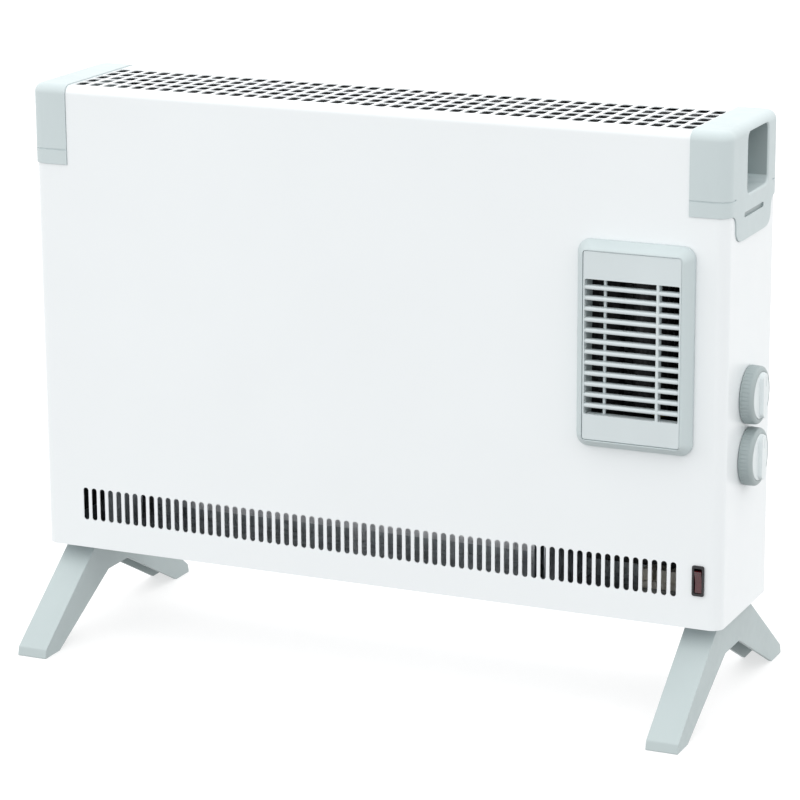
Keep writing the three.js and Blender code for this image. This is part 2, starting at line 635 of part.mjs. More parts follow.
function controlPlate() {
  const shape = roundedRect(KNOB.y - 20, KNOB.y + 20, KNOB.lower - 26, KNOB.upper + 26, 3);
  let plate = slab(shape, "yz", CONTROL_X - THIN_SHEET, CONTROL_X, 3);
  for (const z of [KNOB.upper, KNOB.lower]) {
    plate = plate.subtract(bar("x", CONTROL_X - 5, CONTROL_X + 5, KNOB.y, z, 4.5));
  }
  return plate;
}

// ---------- rocker switch ----------

function rockerHousing() {
  const face = FRONT_Y - GAP;
  const { x, z, frameWidth, frameHeight, width, height } = ROCKER;
  const flange = block(x - frameWidth / 2, x + frameWidth / 2, ROCKER_FACE_Y, face,
    z - frameHeight / 2, z + frameHeight / 2);
  const body = block(x - frameWidth / 2 + 1, x + frameWidth / 2 - 1, face - 1, face + 23,
    z - frameHeight / 2 + 1.4, z + frameHeight / 2 - 1.4);
  const well = block(x - width / 2, x + width / 2, face - 5, face + 16, z - height / 2, z + height / 2);
  const tags = [-8, 0, 8].map((lift) =>
    block(x - 2.4, x + 2.4, face + 22, face + 30, z + lift - 0.4, z + lift + 0.4));
  return joined([flange, body, ...tags]).subtract(well);
}

// Rocker key, drawn about its pivot: a hollow front face over a tapered back. It stands in its
// off position, tipped by ROCKER.tilt degrees so that the lower end is pressed in.
function rockerButton() {
  const half = ROCKER.height / 2 - 1.2;
  const side = ROCKER.width / 2 - GAP;
  const shape = new THREE.Shape();
  shape.moveTo(-ROCKER.pivot - 0.4, half);
  shape.quadraticCurveTo(-ROCKER.pivot + 1.4, 0, -ROCKER.pivot - 0.4, -half);
  shape.lineTo(-1, -half + 1.2);
  shape.lineTo(4, -4);
  shape.lineTo(4, 4);
  shape.lineTo(-1, half - 1.2);
  shape.closePath();
  const tilt = THREE.MathUtils.degToRad(ROCKER.tilt);
  const turned = shape.getPoints(6).map((point) => point.rotateAround(new THREE.Vector2(), tilt).toArray());
  return slab(outline(turned), "yz", -side, side);
}

// ---------- heating side ----------

function divider() {
  const sheet = block(DIVIDER_X, DIVIDER_X + THIN_SHEET, -46, 46, ON_BASE, INNER_TOP_Z);
  const fold = block(DIVIDER_X, DIVIDER_X + 10, -46, 46, ON_BASE, ON_BASE + THIN_SHEET);
  return sheet.add(fold);
}

// Stand at one end of the element boards: a folded sheet with a slot round each board.
function elementStand(x, foldTo) {
  const high = ELEMENT_Z[1] + 34;
  const sheet = block(x, x + THIN_SHEET, -34, 34, ON_BASE, high);
  const fold = block(Math.min(x, foldTo), Math.max(x + THIN_SHEET, foldTo), -34, 34,
    ON_BASE, ON_BASE + THIN_SHEET);
  let stand = sheet.add(fold);
  for (const z of ELEMENT_Z) {
    const reach = ELEMENT.board / 2 + GAP;
    stand = stand.subtract(block(x - 5, x + 5, -reach, reach, z - ELEMENT.half + 4, z + ELEMENT.half - 4));
  }
  return stand;
}

// Insulating board that carries a heating wire; its narrow ends sit in the two stands.
function elementBoard() {
  const half = ELEMENT.board / 2;
  const board = block(ELEMENT.x0, ELEMENT.x1, -half, half, -ELEMENT.half, ELEMENT.half);
  const tongue = block(ELEMENT.x0 - 8, ELEMENT.x1 + 8, -half, half, -ELEMENT.half + 5, ELEMENT.half - 5);
  return board.add(tongue);
}

// Heating ribbon, wound round the board: up its front, over the top edge, down its back, then along
// to the next turn and under the lower edge.
function elementWire() {
  const { width, thick, turns } = RIBBON;
  const near = ELEMENT.board / 2 + GAP;
  const far = near + thick;
  const reach = ELEMENT.half + GAP;
  const over = reach + thick;
  const pitch = (ELEMENT.x1 - ELEMENT.x0 - 32) / (turns - 1);
  const runs = [];
  for (let turn = 0; turn < turns; turn += 1) {
    const x = ELEMENT.x0 + 15 + turn * pitch;
    const next = x + pitch;
    runs.push(block(x, x + width, -far, -near, -over, over));
    runs.push(block(x, x + width, -far, far, reach, over));
    runs.push(block(x, x + width, near, far, -over, over));
    if (turn < turns - 1) {
      runs.push(block(x, next + width, near, far, -over, -over + width));
      runs.push(block(next, next + width, -far, far, -over, -reach));
    }
  }
  return joined(runs);
}

// Bright sheet between the elements and the cabinet's front. Its ends fold back to lie against the left
// stand and the divider.
function frontShield() {
  const { y, low, tabHigh, standTab, dividerTab } = FRONT_SHIELD;
  const face = y - THIN_SHEET / 2;
  const left = ELEMENT.x0 - 5 - GAP - THIN_SHEET;
  const right = DIVIDER_X - GAP;
  const sheet = block(left, right, face, face + THIN_SHEET, low, INNER_TOP_Z);
  const leftTab = block(left, left + THIN_SHEET, face, standTab, low, tabHigh);
  const rightTab = block(right - THIN_SHEET, right, face, dividerTab, low, INNER_TOP_Z);
  return joined([sheet, leftTab, rightTab]);
}

// Bright sheet between the elements and the cabinet's back, with legs that rest on the bottom plate.
function backShield() {
  const { y, low, x0, x1 } = BACK_SHIELD;
  const face = y - THIN_SHEET / 2;
  const sheet = block(x0, x1, face, face + THIN_SHEET, low, INNER_TOP_Z);
  const legs = [-240, -60, 110].map((x) => block(x - 8, x + 8, face, face + THIN_SHEET, ON_BASE, low + 2));
  return joined([sheet, ...legs]);
}

function thermalCutout() {
  const disc = bar("x", DIVIDER_X - GAP - 8, DIVIDER_X - GAP, 0, 330, 8, 20);
  const tabs = [-4, 4].map((y) => block(DIVIDER_X - 15, DIVIDER_X - 7, y - 0.4, y + 0.4, 325, 335));
  return joined([disc, ...tabs]);
}

function terminalBlock() {
  const base = block(212, 262, 20, 38, ON_BASE, ON_BASE + 6);
  const cells = [218, 230, 242, 254].map((x) => block(x - 4.5, x + 4.5, 22, 36, ON_BASE + 5, ON_BASE + 16)
    .subtract(bar("z", ON_BASE + 8, ON_BASE + 20, x, 29, 2.5, 10)));
  return joined([base, ...cells]);
}

// ---------- cord inlet ----------

function cableGland() {
  const flange = bar("y", BACK_Y + GAP, BACK_Y + GAP + 3, GLAND.z, GLAND.x, 11, 24);
  const neck = bar("y", BACK_Y - 10, BACK_Y + 2, GLAND.z, GLAND.x, 7.2, 16);
  const bore = bar("y", BACK_Y - 20, BACK_Y + 20, GLAND.z, GLAND.x, GLAND.bore, 16);
  return flange.add(neck).subtract(bore);
}

// ---------- assembly ----------

function addCabinet() {
  add("front_cover", "white_paint", frontCover());
  add("back_panel", "white_paint", backPanel());
  add("top_grille", "white_paint", topGrille());
  add("bottom_plate", "galvanised", bottomPlate());
  add("end_cap_left", "grey_plastic", endCap(-1));
  add("end_cap_right", "grey_plastic", endCap(1));
  BACK_SCREWS.forEach(([x, z], i) => {
    add(`back_screw_${i + 1}`, "bright_steel", backScrew(), [x, HALF_DEPTH, z]);
  });
  add("cable_gland", "black_plastic", cableGland());
}

function addFeet() {
  const seat = FOOT_TOP - FOOT.web - 1 - GAP;
  for (const [side, word] of [[-1, "left"], [1, "right"]]) {
    add(`foot_${word}`, "grey_plastic", foot(side));
    ["front", "back"].forEach((end, i) => {
      add(`foot_screw_${word}_${end}`, "bright_steel", footScrew(), [side * FOOT_MID, FOOT_SCREW_Y[i], seat]);
    });
  }
}

function addFan() {
  add("outlet_bezel", "grey_plastic", bezel());
  add("outlet_louvre", "pale_plastic", louvre());
  add("fan_scroll", "blackened", fanScroll());
  add("fan_tongue", "blackened", fanTongue());
  add("fan_plate_upper", "blackened", fanPlate(PLATE_HIGH));
  add("fan_plate_lower", "blackened", fanPlate(PLATE_LOW));
  add("fan_bearing_upper", "brass", bearing(), [FAN.x, FAN.y, PLATE_HIGH]);
  add("fan_bearing_lower", "brass", bearing(), [FAN.x, FAN.y, PLATE_LOW]);
  add("fan_impeller", "blackened", impeller());
  add("fan_shaft", "bright_steel", fanShaft());
  add("motor_rotor", "bright_steel", motorRotor());
  add("motor_core", "bright_steel", motorCore());
  add("motor_coil", "copper", motorCoil());
  add("motor_bracket", "galvanised", motorBracket());
}

function addControls() {
  const upper = [0, KNOB.y, KNOB.upper];
  const lower = [0, KNOB.y, KNOB.lower];
  add("control_plate", "galvanised", controlPlate());
  add("thermostat_knob", "knob_plastic", knob(), upper);
  add("thermostat_spindle", "bright_steel", spindle(), upper);
  add("thermostat_body", "ceramic", controlBody(15, 13, 3), upper);
  add("selector_knob", "knob_plastic", knob(), lower);
  add("selector_spindle", "bright_steel", spindle(), lower);
  add("selector_body", "black_plastic", controlBody(17, 15, 6), lower);
  add("rocker_housing", "black_plastic", rockerHousing());
  add("rocker_button", "neon_red", rockerButton(), [ROCKER.x, ROCKER_FACE_Y + ROCKER.pivot, ROCKER.z]);
}

function addHeating() {
  add("divider_plate", "galvanised", divider());
  add("element_stand_left", "galvanised", elementStand(ELEMENT.x0 - 5, ELEMENT.x0 - 17));
  add("element_stand_right", "galvanised", elementStand(ELEMENT.x1 + 4, ELEMENT.x1 + 16));
  ELEMENT_Z.forEach((z, i) => {
    add(`element_board_${i + 1}`, "mica", elementBoard(), [0, 0, z]);
    add(`element_wire_${i + 1}`, "bright_steel", elementWire(), [0, 0, z]);
  });
  add("heat_shield_front", "aluminium", frontShield());
  add("heat_shield_back", "aluminium", backShield());
  add("thermal_cutout", "brass", thermalCutout());
  add("terminal_block", "ceramic", terminalBlock());
}

addCabinet();
addFeet();
addFan();
addControls();
addHeating();
heater.position.x = -KNOB.proud / 2 + CAP_PROUD / 2;

export default heater;
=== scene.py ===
"""Looks of the fan convector heater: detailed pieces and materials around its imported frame.

Metres, +Z up. X runs along the heater, Y from front to back, and the floor is Z = 0. Places come from
the frame's boxes; sizes that a box doesn't hold, such as sheet thickness, are named below.
"""

import json
import math

import bmesh
import bpy
from mathutils import Matrix, Vector


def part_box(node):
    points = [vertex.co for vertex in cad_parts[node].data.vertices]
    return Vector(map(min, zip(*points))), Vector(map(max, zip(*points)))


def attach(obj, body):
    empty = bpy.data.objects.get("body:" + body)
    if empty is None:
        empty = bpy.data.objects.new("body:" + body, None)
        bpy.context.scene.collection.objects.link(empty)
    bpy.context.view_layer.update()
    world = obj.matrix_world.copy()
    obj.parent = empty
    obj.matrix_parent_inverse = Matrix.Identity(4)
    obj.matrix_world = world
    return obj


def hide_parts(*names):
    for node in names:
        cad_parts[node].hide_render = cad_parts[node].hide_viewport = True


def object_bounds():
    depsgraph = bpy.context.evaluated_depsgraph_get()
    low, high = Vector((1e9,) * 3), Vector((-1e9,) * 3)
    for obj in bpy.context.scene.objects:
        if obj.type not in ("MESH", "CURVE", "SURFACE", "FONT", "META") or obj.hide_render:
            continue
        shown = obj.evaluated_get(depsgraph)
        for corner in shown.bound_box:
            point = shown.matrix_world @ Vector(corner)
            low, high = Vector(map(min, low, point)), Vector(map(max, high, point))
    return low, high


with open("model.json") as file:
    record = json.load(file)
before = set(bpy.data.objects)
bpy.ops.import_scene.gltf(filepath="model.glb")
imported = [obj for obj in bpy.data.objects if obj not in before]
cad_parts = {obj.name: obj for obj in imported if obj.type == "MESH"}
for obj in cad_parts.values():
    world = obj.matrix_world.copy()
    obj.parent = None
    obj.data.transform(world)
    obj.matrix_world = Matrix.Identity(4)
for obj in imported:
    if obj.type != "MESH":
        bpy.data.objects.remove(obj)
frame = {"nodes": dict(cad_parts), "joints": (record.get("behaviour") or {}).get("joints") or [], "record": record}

CAD_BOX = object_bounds()
MM = 0.001

# ---------- sizes ----------

def mm(**lengths):
    """Named lengths, given in millimetres."""
    return {name: length * MM for name, length in lengths.items()}


GAP = 0.3 * MM            # clearance between neighbours
FIT = 0.1 * MM            # clearance where one piece is pressed into another
OVERLAP = 0.5 * MM        # how far a body runs into the one that it is joined to
THROUGH = 5 * MM          # how far a hole's cutter runs past the sheet on each side
BEYOND = 40 * MM          # how far a large cutter runs past what it cuts
WELD = 0.004 * MM         # points closer than this are made one
SLIVER = 0.002 * MM       # edges shorter than this are dropped

SHEET = 0.8 * MM          # cabinet sheet
WALL = 2.5 * MM           # moulded wall
EDGE = 0.4 * MM           # rounded edges of the back panel, the impeller and round bars
FRONT_R = 10 * MM         # upright edges at the front
BACK_R = 10 * MM          # and at the back
TOP_R = 7 * MM            # edges along the top
OPEN_BACK = mm(flange=10, deep=11, top=16)   # what the cover leaves open
PANEL = mm(step=23, below_cap=1, corner=2.5)

CAP_PROUD = 1 * MM        # end caps stand this far out of the sheet
CAP_WRAP = 23.5 * MM      # the caps' lower edge, above the lowest point of their sides
SIDE_EDGE = mm(flat=27, drop=43, shoulder=54, inset=7)
HOLD = mm(y0=-17, y1=35, low=56, high=7, deep=28, round=6, lip=2, skin=1.6, liner=1.8, edge=0.3)
# The rounding round a hold's floor: height over it, and how far the outline has grown there.
HOLD_FLOOR = [(0, -2 * MM), (0.6 * MM, -0.9 * MM), (2 * MM, 0)]
HOLD_SLIT = {"end": 0.9, **mm(half=24, below=71.5, height=4, deep=1.7)}
CAP_GROOVE = mm(below=56, wide=1.2, deep=0.7, stop=2)

GRILLE_HOLES = (42, 5)
GRILLE_PITCH = (13.2 * MM, 17.5 * MM)
GRILLE_HOLE = (10 * MM, 15.2 * MM, 2.6 * MM)
GRILLE_FIRST = 19 * MM    # middle of the first row of holes, behind the cabinet's front

INTAKE = {"count": 68, "end": 0.98, **mm(pitch=8.05, width=5, low=25, high=54)}
BACK_VENT = {"count": 44, **mm(shift=-64)}

BEZEL = {"tighter": 0.6, **mm(rim=7.4, corner=10, neck_r=1.2, recess_r=2.4, ledge=2, hole_r=1)}
# Each ring of the surround's slope: how far forward and how far inward it lies, in millimetres.
BEZEL_RINGS = [(0, 0), (2.4, 0), (3.4, 0.3), (4.4, 0.9), (9.2, 4.1), (10.6, 5.1), (11.5, 5.9), (12, 6.8)]
LOUVRE = {"slots": 13, "ribs": (16.8 * MM, 62.8 * MM), "strip": (5 * MM, 2 * MM),
          **mm(pitch=8.8, gap=5.4, from_top=22.7, frame=1.5, plate=3.6, slat=6.6, lift=0.8, corner=2.2,
               edge=0.7, skirt=2.7, skirt_r=1, window_r=1.2, wall=2.2)}
SLAT = {"nose": 0.9, "belly": (0.45, 0.88), "tail": 1.34, "taper": 0.92,
        **mm(stub=3.1, stub_back=0.3, clear=0.8, back=0.2)}
RIB = mm(half=1.2, round=0.9, thin=3.2, back=0.1)

KNOB = {"flatter": 0.8, "grip_end": 0.96,
        **mm(grip_high=3.6, sunk=1.2, rim=4.6, shoulder=3.6, taper=0.3, bore=3.3, bore_deep=8, hole=5,
             face_gap=0.4, face_lift=0.02, grip_half=5, grip_short=5.6)}
MARK = mm(half=0.6, low=11, high=2.5, round=0.55, deep=0.6)
FLUTES = {"count": 44, **mm(radius=1.3, deep=0.55, from_base=1.6, from_rim=3.4)}
ROCKER = mm(corner=1.8, edge=0.55, flange=1.4, lap=0.4, hole_x=0.7, hole_z=1.1, hole_r=0.5, body_x=1,
            body_z=1.4, body_r=0.6, body_deep=24.4, well_x=1.8, well_z=2.3, well_r=0.8, well_deep=17)
TAG = mm(half=2.4, thick=0.8, pitch=8, back=23)
KEY = mm(half=9.3, front=6.4, tail=4, dish=1.7)

FOOT = {"radii": [2.5 * MM, 3 * MM, 1 * MM, 1 * MM, 2.5 * MM],
        **mm(crown=34, toe_high=8, toe_lean=2, toe_long=25, arch=18, arch_deep=33, wall=2.8, web=3.2,
             hollow_low=5, edge=0.5)}
BOSS = mm(radius=7, long=9, bore=4.9, shank=2.3)
SCREW = {"shank": 0.48, "tip": 0.4, "wide": 0.55, "head": mm(y=2, z=2.6),
         **mm(hole=2.1, tip_long=1.5, recess=1.1, slim=0.45)}
GLAND = {"face": [(0, 1), (0.8, 1.8), (2.6, 2.1)], "mouth": [(0, 1.6), (0.3, 0.8), (1.2, 0)],
         **mm(hole=7.6, neck=7.2, flange=3, bore=4)}

FAN = {"blades": 30, "sweep": 0.26,
       **mm(hub_below=5, hub_above=1, disc=1.2, hub=6, bore=3.3, blade=0.6, blade_inset=0.8,
            blade_wide=7.5)}
RIBBON = {"turns": 30, "end_share": 0.93, "half_share": 0.6,
          **mm(wide=2, thick=0.35, margin=1.2, round=0.7)}


# ---------- outlines ----------

def quarter(steps):
    """Angles through a quarter turn, both ends included."""
    return [math.radians(90 * step / steps) for step in range(steps + 1)]


def corners(u0, u1, v0, v1, radii, steps=8):
    """A rectangle with round corners: lower right, upper right, upper left, lower left."""
    if not isinstance(radii, (list, tuple)):
        radii = [radii] * 4
    ends = [(u1, v0, -1, 1), (u1, v1, -1, -1), (u0, v1, 1, -1), (u0, v0, 1, 1)]
    points = []
    for turn, (radius, (u, v, to_u, to_v)) in enumerate(zip(radii, ends)):
        for step in range(steps + 1):
            angle = math.radians(90 * (turn - 1 + step / steps))
            points.append((u + to_u * radius + radius * math.cos(angle),
                           v + to_v * radius + radius * math.sin(angle)))
    return points


def circle(u, v, radius, steps=32):
    turns = [2 * math.pi * step / steps for step in range(steps)]
    return [(u + radius * math.cos(a), v + radius * math.sin(a)) for a in turns]


def softened(points, radius, steps=5):
    """A closed outline with each corner rounded; radius is one number or one for each corner."""
    radii = radius if isinstance(radius, (list, tuple)) else [radius] * len(points)
    result = []
    for i, (point, r) in enumerate(zip(points, radii)):
        here = Vector(point)
        before = (Vector(points[i - 1]) - here).normalized()
        after = (Vector(points[(i + 1) % len(points)]) - here).normalized()
        half = before.angle(after) / 2
        start = here + before * (r / math.tan(half))
        end = here + after * (r / math.tan(half))
        for step in range(steps + 1):
            t = step / steps
            result.append(tuple(start * (1 - t) ** 2 + here * 2 * t * (1 - t) + end * t ** 2))
    return result


def drawn_in(points, distance):
    """An anticlockwise outline moved inwards, each corner along the mitre of its two sides."""
    moved = []
    for i, point in enumerate(points):
        here = Vector(point)
        a = (here - Vector(points[i - 1])).normalized()
        b = (Vector(points[(i + 1) % len(points)]) - here).normalized()
        mitre = Vector((-a.y - b.y, a.x + b.x))
        scale = max(mitre.length_squared / 2, 0.4)  # holds back the point of a sharp corner
        moved.append(tuple(here + mitre * (distance / scale)))
    return moved


def placed(axis, u, v, w):
    """A point from its two places in an outline's plane and its distance along the third axis."""
    return {"x": (w, u, v), "y": (u, w, v), "z": (u, v, w)}[axis]


def prism(points, axis, low, high):
    return [[placed(axis, u, v, w) for u, v in points] for w in (low, high)]


def pillow(points, axis, low, high, fillet, steps=4):
    """A prism whose two ends have rounded edges."""
    rings = []
    for end, sign in ((low, 1), (high, -1)):
        part = []
        for angle in quarter(steps):
            inset = fillet * (1 - math.sin(angle))
            w = end + sign * fillet * (1 - math.cos(angle))
            part.append([placed(axis, u, v, w) for u, v in drawn_in(points, inset)])
        rings += part if sign > 0 else reversed(part)
    return rings


def brick(x0, x1, y0, y1, z0, z1):
    return prism([(x0, y0), (x1, y0), (x1, y1), (x0, y1)], "z", z0, z1)


# ---------- solids ----------

def thing(name, bm):
    """A new object in the scene from a finished bmesh."""
    bmesh.ops.recalc_face_normals(bm, faces=bm.faces)
    mesh = bpy.data.meshes.new(name)
    bm.to_mesh(mesh)
    bm.free()
    obj = bpy.data.objects.new(name, mesh)
    bpy.context.scene.collection.objects.link(obj)
    return obj


def solid(name, *lofts):
    """Closed bodies that don't touch, each one a loft through rings with the same number of corners."""
    bm = bmesh.new()
    for rings in lofts:
        rows = [[bm.verts.new(point) for point in ring] for ring in rings]
        for low, high in zip(rows, rows[1:]):
            for i in range(len(low)):
                j = (i + 1) % len(low)
                bm.faces.new((low[i], low[j], high[j], high[i]))
        bm.faces.new(list(reversed(rows[0])))
        bm.faces.new(rows[-1])
    return thing(name, bm)


def turned(name, profile, centre, axis, steps):
    """A body of revolution: profile is (radius, distance along the axis), from the axis to the axis."""
    bm = bmesh.new()
    spin = {"x": (1, 2, 0), "y": (0, 2, 1), "z": (0, 1, 2)}[axis]
    rows = []
    for radius, along in profile:
        row = []
        for step in range(steps if radius > 0 else 1):
            angle = 2 * math.pi * step / steps
            point = list(centre)
            point[spin[0]] += radius * math.cos(angle)
            point[spin[1]] += radius * math.sin(angle)
            point[spin[2]] += along
            row.append(bm.verts.new(point))
        rows.append(row)
    for low, high in zip(rows, rows[1:]):
        for i in range(steps):
            j = i + 1
            ring = [low[i % len(low)], low[j % len(low)], high[j % len(high)], high[i % len(high)]]
            bm.faces.new([v for k, v in enumerate(ring) if v not in ring[:k]])
    return thing(name, bm)


def settle(obj):
    """Makes an object's modifiers part of its mesh."""
    bpy.context.view_layer.update()
    graph = bpy.context.evaluated_depsgraph_get()
    mesh = bpy.data.meshes.new_from_object(obj.evaluated_get(graph))
    obj.modifiers.clear()
    obj.data = mesh


def combine(obj, other, how):
    """A Boolean of two solids, which uses up the second."""
    step = obj.modifiers.new(how, "BOOLEAN")
    step.operation = how
    step.solver = "MANIFOLD"
    step.object = other
    settle(obj)
    bpy.data.objects.remove(other)
    return obj


def cut(obj, *lofts):
    return combine(obj, solid("cutter", *lofts), "DIFFERENCE")


def joined(obj, *lofts):
    return combine(obj, solid("added", *lofts), "UNION")


def smoothed(obj, angle=28):
    """Drops slivers, then shades smoothly across every edge that is flatter than the angle."""
    bm = bmesh.new()
    bm.from_mesh(obj.data)
    bmesh.ops.remove_doubles(bm, verts=bm.verts, dist=WELD)
    bmesh.ops.dissolve_degenerate(bm, edges=bm.edges, dist=SLIVER)
    bm.to_mesh(obj.data)
    bm.free()
    obj.data.shade_smooth()
    obj.data.set_sharp_from_angle(angle=math.radians(angle))
    weighted = obj.modifiers.new("normals", "WEIGHTED_NORMAL")
    weighted.keep_sharp = True
    settle(obj)


def paint_inner_shade(obj):
    """Faces on the inner side of the cabinet's sheet get a dark grey instead of the enamel: painted shade inside
    the cabinet.
    """
    obj.data.materials.append(LOOKS["inner_shade"])
    near = SHEET * 0.75
    middle = Vector((MID_X, (FRONT + BACK) / 2, (BASE + TOP) / 2))
    for face in obj.data.polygons:
        ring = [obj.data.vertices[i].co for i in face.vertices]
        deep = all(abs(co.x - MID_X) < HALF_W - near and FRONT + near < co.y < BACK - near
                   and co.z < TOP - near for co in ring)
        if deep and face.normal.dot(middle - face.center) > 0:
            face.material_index = 1


def piece(obj, node, slot, body="root", look=None):
    """Smooths a finished mesh, gives it its material and its body, and hides the CAD node that it stands for."""
    smoothed(obj)
    obj.data.materials.clear()
    obj.data.materials.append(LOOKS[look or slot])
    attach(obj, body)
    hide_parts(node)


# ---------- materials ----------

class Look:
    """A principled material, with the few kinds of node that the looks are built from."""

    def __init__(self, name, roughness, metallic=0.0, **sockets):
        self.material = bpy.data.materials.new(name)
        self.material.use_nodes = True
        self.tree = self.material.node_tree
        self.shader = self.tree.nodes["Principled BSDF"]
        self.shader.inputs["Roughness"].default_value = roughness
        self.shader.inputs["Metallic"].default_value = metallic
        for socket, value in sockets.items():
            self.shader.inputs[socket.replace("_", " ")].default_value = value

    def node(self, kind, **settings):
        made = self.tree.nodes.new(kind)
        for setting, value in settings.items():
            setattr(made, setting, value)
        return made

    def place(self, stretch=(1, 1, 1)):
        source = self.node("ShaderNodeTexCoord").outputs["Object"]
        mapping = self.node("ShaderNodeMapping")
        mapping.inputs["Scale"].default_value = stretch
        self.tree.links.new(source, mapping.inputs["Vector"])
        return mapping.outputs["Vector"]

    def noise(self, scale, detail, stretch=(1, 1, 1)):
        made = self.node("ShaderNodeTexNoise")
        made.inputs["Scale"].default_value = scale
        made.inputs["Detail"].default_value = detail
        self.tree.links.new(self.place(stretch), made.inputs["Vector"])
        return made.outputs["Fac"]

    def cells(self, scale, stretch=(1, 1, 1)):
        """Two tones for every cell of a pattern, each independent of the other."""
        made = self.node("ShaderNodeTexVoronoi")
        made.inputs["Scale"].default_value = scale
        self.tree.links.new(self.place(stretch), made.inputs["Vector"])
        split = self.node("ShaderNodeSeparateColor")
        self.tree.links.new(made.outputs["Color"], split.inputs[0])
        return split.outputs[0], split.outputs[1]

    def ranged(self, value, low, high, start=0.3, end=0.7):
        made = self.node("ShaderNodeMapRange")
        made.inputs["From Min"].default_value = start
        made.inputs["From Max"].default_value = end
        made.inputs["To Min"].default_value = low
        made.inputs["To Max"].default_value = high
        self.tree.links.new(value, made.inputs["Value"])
        return made.outputs["Result"]

    def colour(self, factor, low, high):
        made = self.node("ShaderNodeMix", data_type="RGBA")
        colours = [socket for socket in made.inputs if socket.type == "RGBA"]
        colours[0].default_value = (*low, 1)
        colours[1].default_value = (*high, 1)
        self.tree.links.new(factor, made.inputs[0])
        result = next(socket for socket in made.outputs if socket.type == "RGBA")
        self.tree.links.new(result, self.shader.inputs["Base Color"])

    def mottled(self, pattern, low, high):
        self.colour(self.ranged(pattern, 0, 1), low, high)

    def rough(self, pattern, low, high, *ends):
        self.tree.links.new(self.ranged(pattern, low, high, *ends), self.shader.inputs["Roughness"])

    def bump(self, height, distance, strength):
        made = self.node("ShaderNodeBump")
        made.inputs["Strength"].default_value = strength
        made.inputs["Distance"].default_value = distance
        self.tree.links.new(height, made.inputs["Height"])
        before = self.shader.inputs["Normal"].links
        if before:
            self.tree.links.new(before[0].from_socket, made.inputs["Normal"])
        self.tree.links.new(made.outputs["Normal"], self.shader.inputs["Normal"])
        return self


def shade(colour, factor):
    return tuple(channel * factor for channel in colour)


def painted(name, colour, gloss):
    """Stove enamel on sheet: a faint orange peel, and a little cloudiness over a hand's breadth."""
    look = Look(name, gloss, Coat_Weight=0.2, Coat_Roughness=0.16)
    look.mottled(look.noise(9, 3), shade(colour, 0.985), colour)
    look.rough(look.noise(55, 4), gloss - 0.04, gloss + 0.05)
    return look.bump(look.noise(620, 1), 0.05 * MM, 0.35).material


def moulded(name, colour, gloss, grain=0.05):
    """Injection moulding: spark-eroded grain, and faint flow marks in the colour."""
    look = Look(name, gloss, Specular_IOR_Level=0.45)
    look.mottled(look.noise(14, 4, (1, 1, 0.4)), shade(colour, 0.955), shade(colour, 1.02))
    look.rough(look.noise(130, 3), gloss - 0.05, gloss + 0.07)
    look.bump(look.noise(1500, 3), grain * MM, 0.6)
    return look.bump(look.noise(4200, 2), 0.3 * grain * MM, 0.5).material


def rolled_metal(name, colour, gloss, stretch, lines=900):
    """Plain sheet or bar: fine parallel rolling or turning lines across one direction."""
    look = Look(name, gloss, 1.0)
    drawn = look.noise(lines, 4, stretch)
    look.mottled(drawn, shade(colour, 0.86), shade(colour, 1.05))
    look.rough(look.noise(60, 4, stretch), gloss - 0.06, gloss + 0.12)
    return look.bump(drawn, 0.02 * MM, 0.4).material


def zinc_coated(name):
    """Galvanised sheet: flat crystals a few millimetres across, each with its own tone and gloss."""
    look = Look(name, 0.45, 0.9)
    tone, gloss = look.cells(130)
    look.colour(tone, (0.36, 0.39, 0.41), (0.56, 0.6, 0.62))
    look.rough(gloss, 0.34, 0.58, 0, 1)
    return look.bump(look.noise(400, 3), 0.03 * MM, 0.4).material


def dark_coating_and_shade(name):
    """Thin black heat-proof coating over pressed sheet, greyer where it is thinner; its darkness also serves as
    painted shade inside the fan outlet.
    """
    look = Look(name, 0.6, 0.1)
    look.mottled(look.noise(240, 5), (0.012, 0.012, 0.014), (0.03, 0.031, 0.034))
    look.rough(look.noise(90, 4), 0.5, 0.75)
    return look.bump(look.noise(1400, 3), 0.03 * MM, 0.5).material


def inner_shade_look(name):
    """Flat, slightly mottled dark grey for the inner side of the sheet: painted shade inside the cabinet."""
    look = Look(name, 0.75)
    look.mottled(look.noise(60, 4), (0.075, 0.08, 0.083), (0.11, 0.116, 0.12))
    return look.bump(look.noise(900, 2), 0.03 * MM, 0.4).material


def lit_red(name):
    """Translucent red key: darker in its depth, glossy outside."""
    look = Look(name, 0.18, Coat_Weight=0.5, Coat_Roughness=0.06, Subsurface_Weight=0.25)
    look.shader.inputs["Subsurface Scale"].default_value = 1.5 * MM
    look.shader.inputs["Subsurface Radius"].default_value = (1.0, 0.15, 0.1)
    look.mottled(look.noise(160, 2), (0.05, 0.003, 0.007), (0.1, 0.005, 0.012))
    return look.bump(look.noise(700, 2), 0.02 * MM, 0.3).material


def wound_copper(name):
    """Enamelled winding: round turns side by side, darker in the grooves between them as painted shade."""
    look = Look(name, 0.3, 0.95)
    turns = look.node("ShaderNodeTexWave", bands_direction="X")
    turns.inputs["Scale"].default_value = 380
    turns.inputs["Distortion"].default_value = 0.6
    look.tree.links.new(look.place(), turns.inputs["Vector"])
    # painted shade: dark where the wave dips between turns, bright on their crests
    look.colour(turns.outputs["Fac"], (0.22, 0.07, 0.03), (0.62, 0.26, 0.12))
    return look.bump(turns.outputs["Fac"], 0.2 * MM, 0.8).material


def mica_board(name):
    """Pressed mica: silvery flakes in a tan binder."""
    look = Look(name, 0.55, Sheen_Weight=0.1)
    tone, gloss = look.cells(420, (1, 1, 1.6))
    look.colour(tone, (0.34, 0.26, 0.14), (0.62, 0.54, 0.38))
    look.rough(gloss, 0.3, 0.75, 0, 1)
    return look.bump(tone, 0.05 * MM, 0.5).material


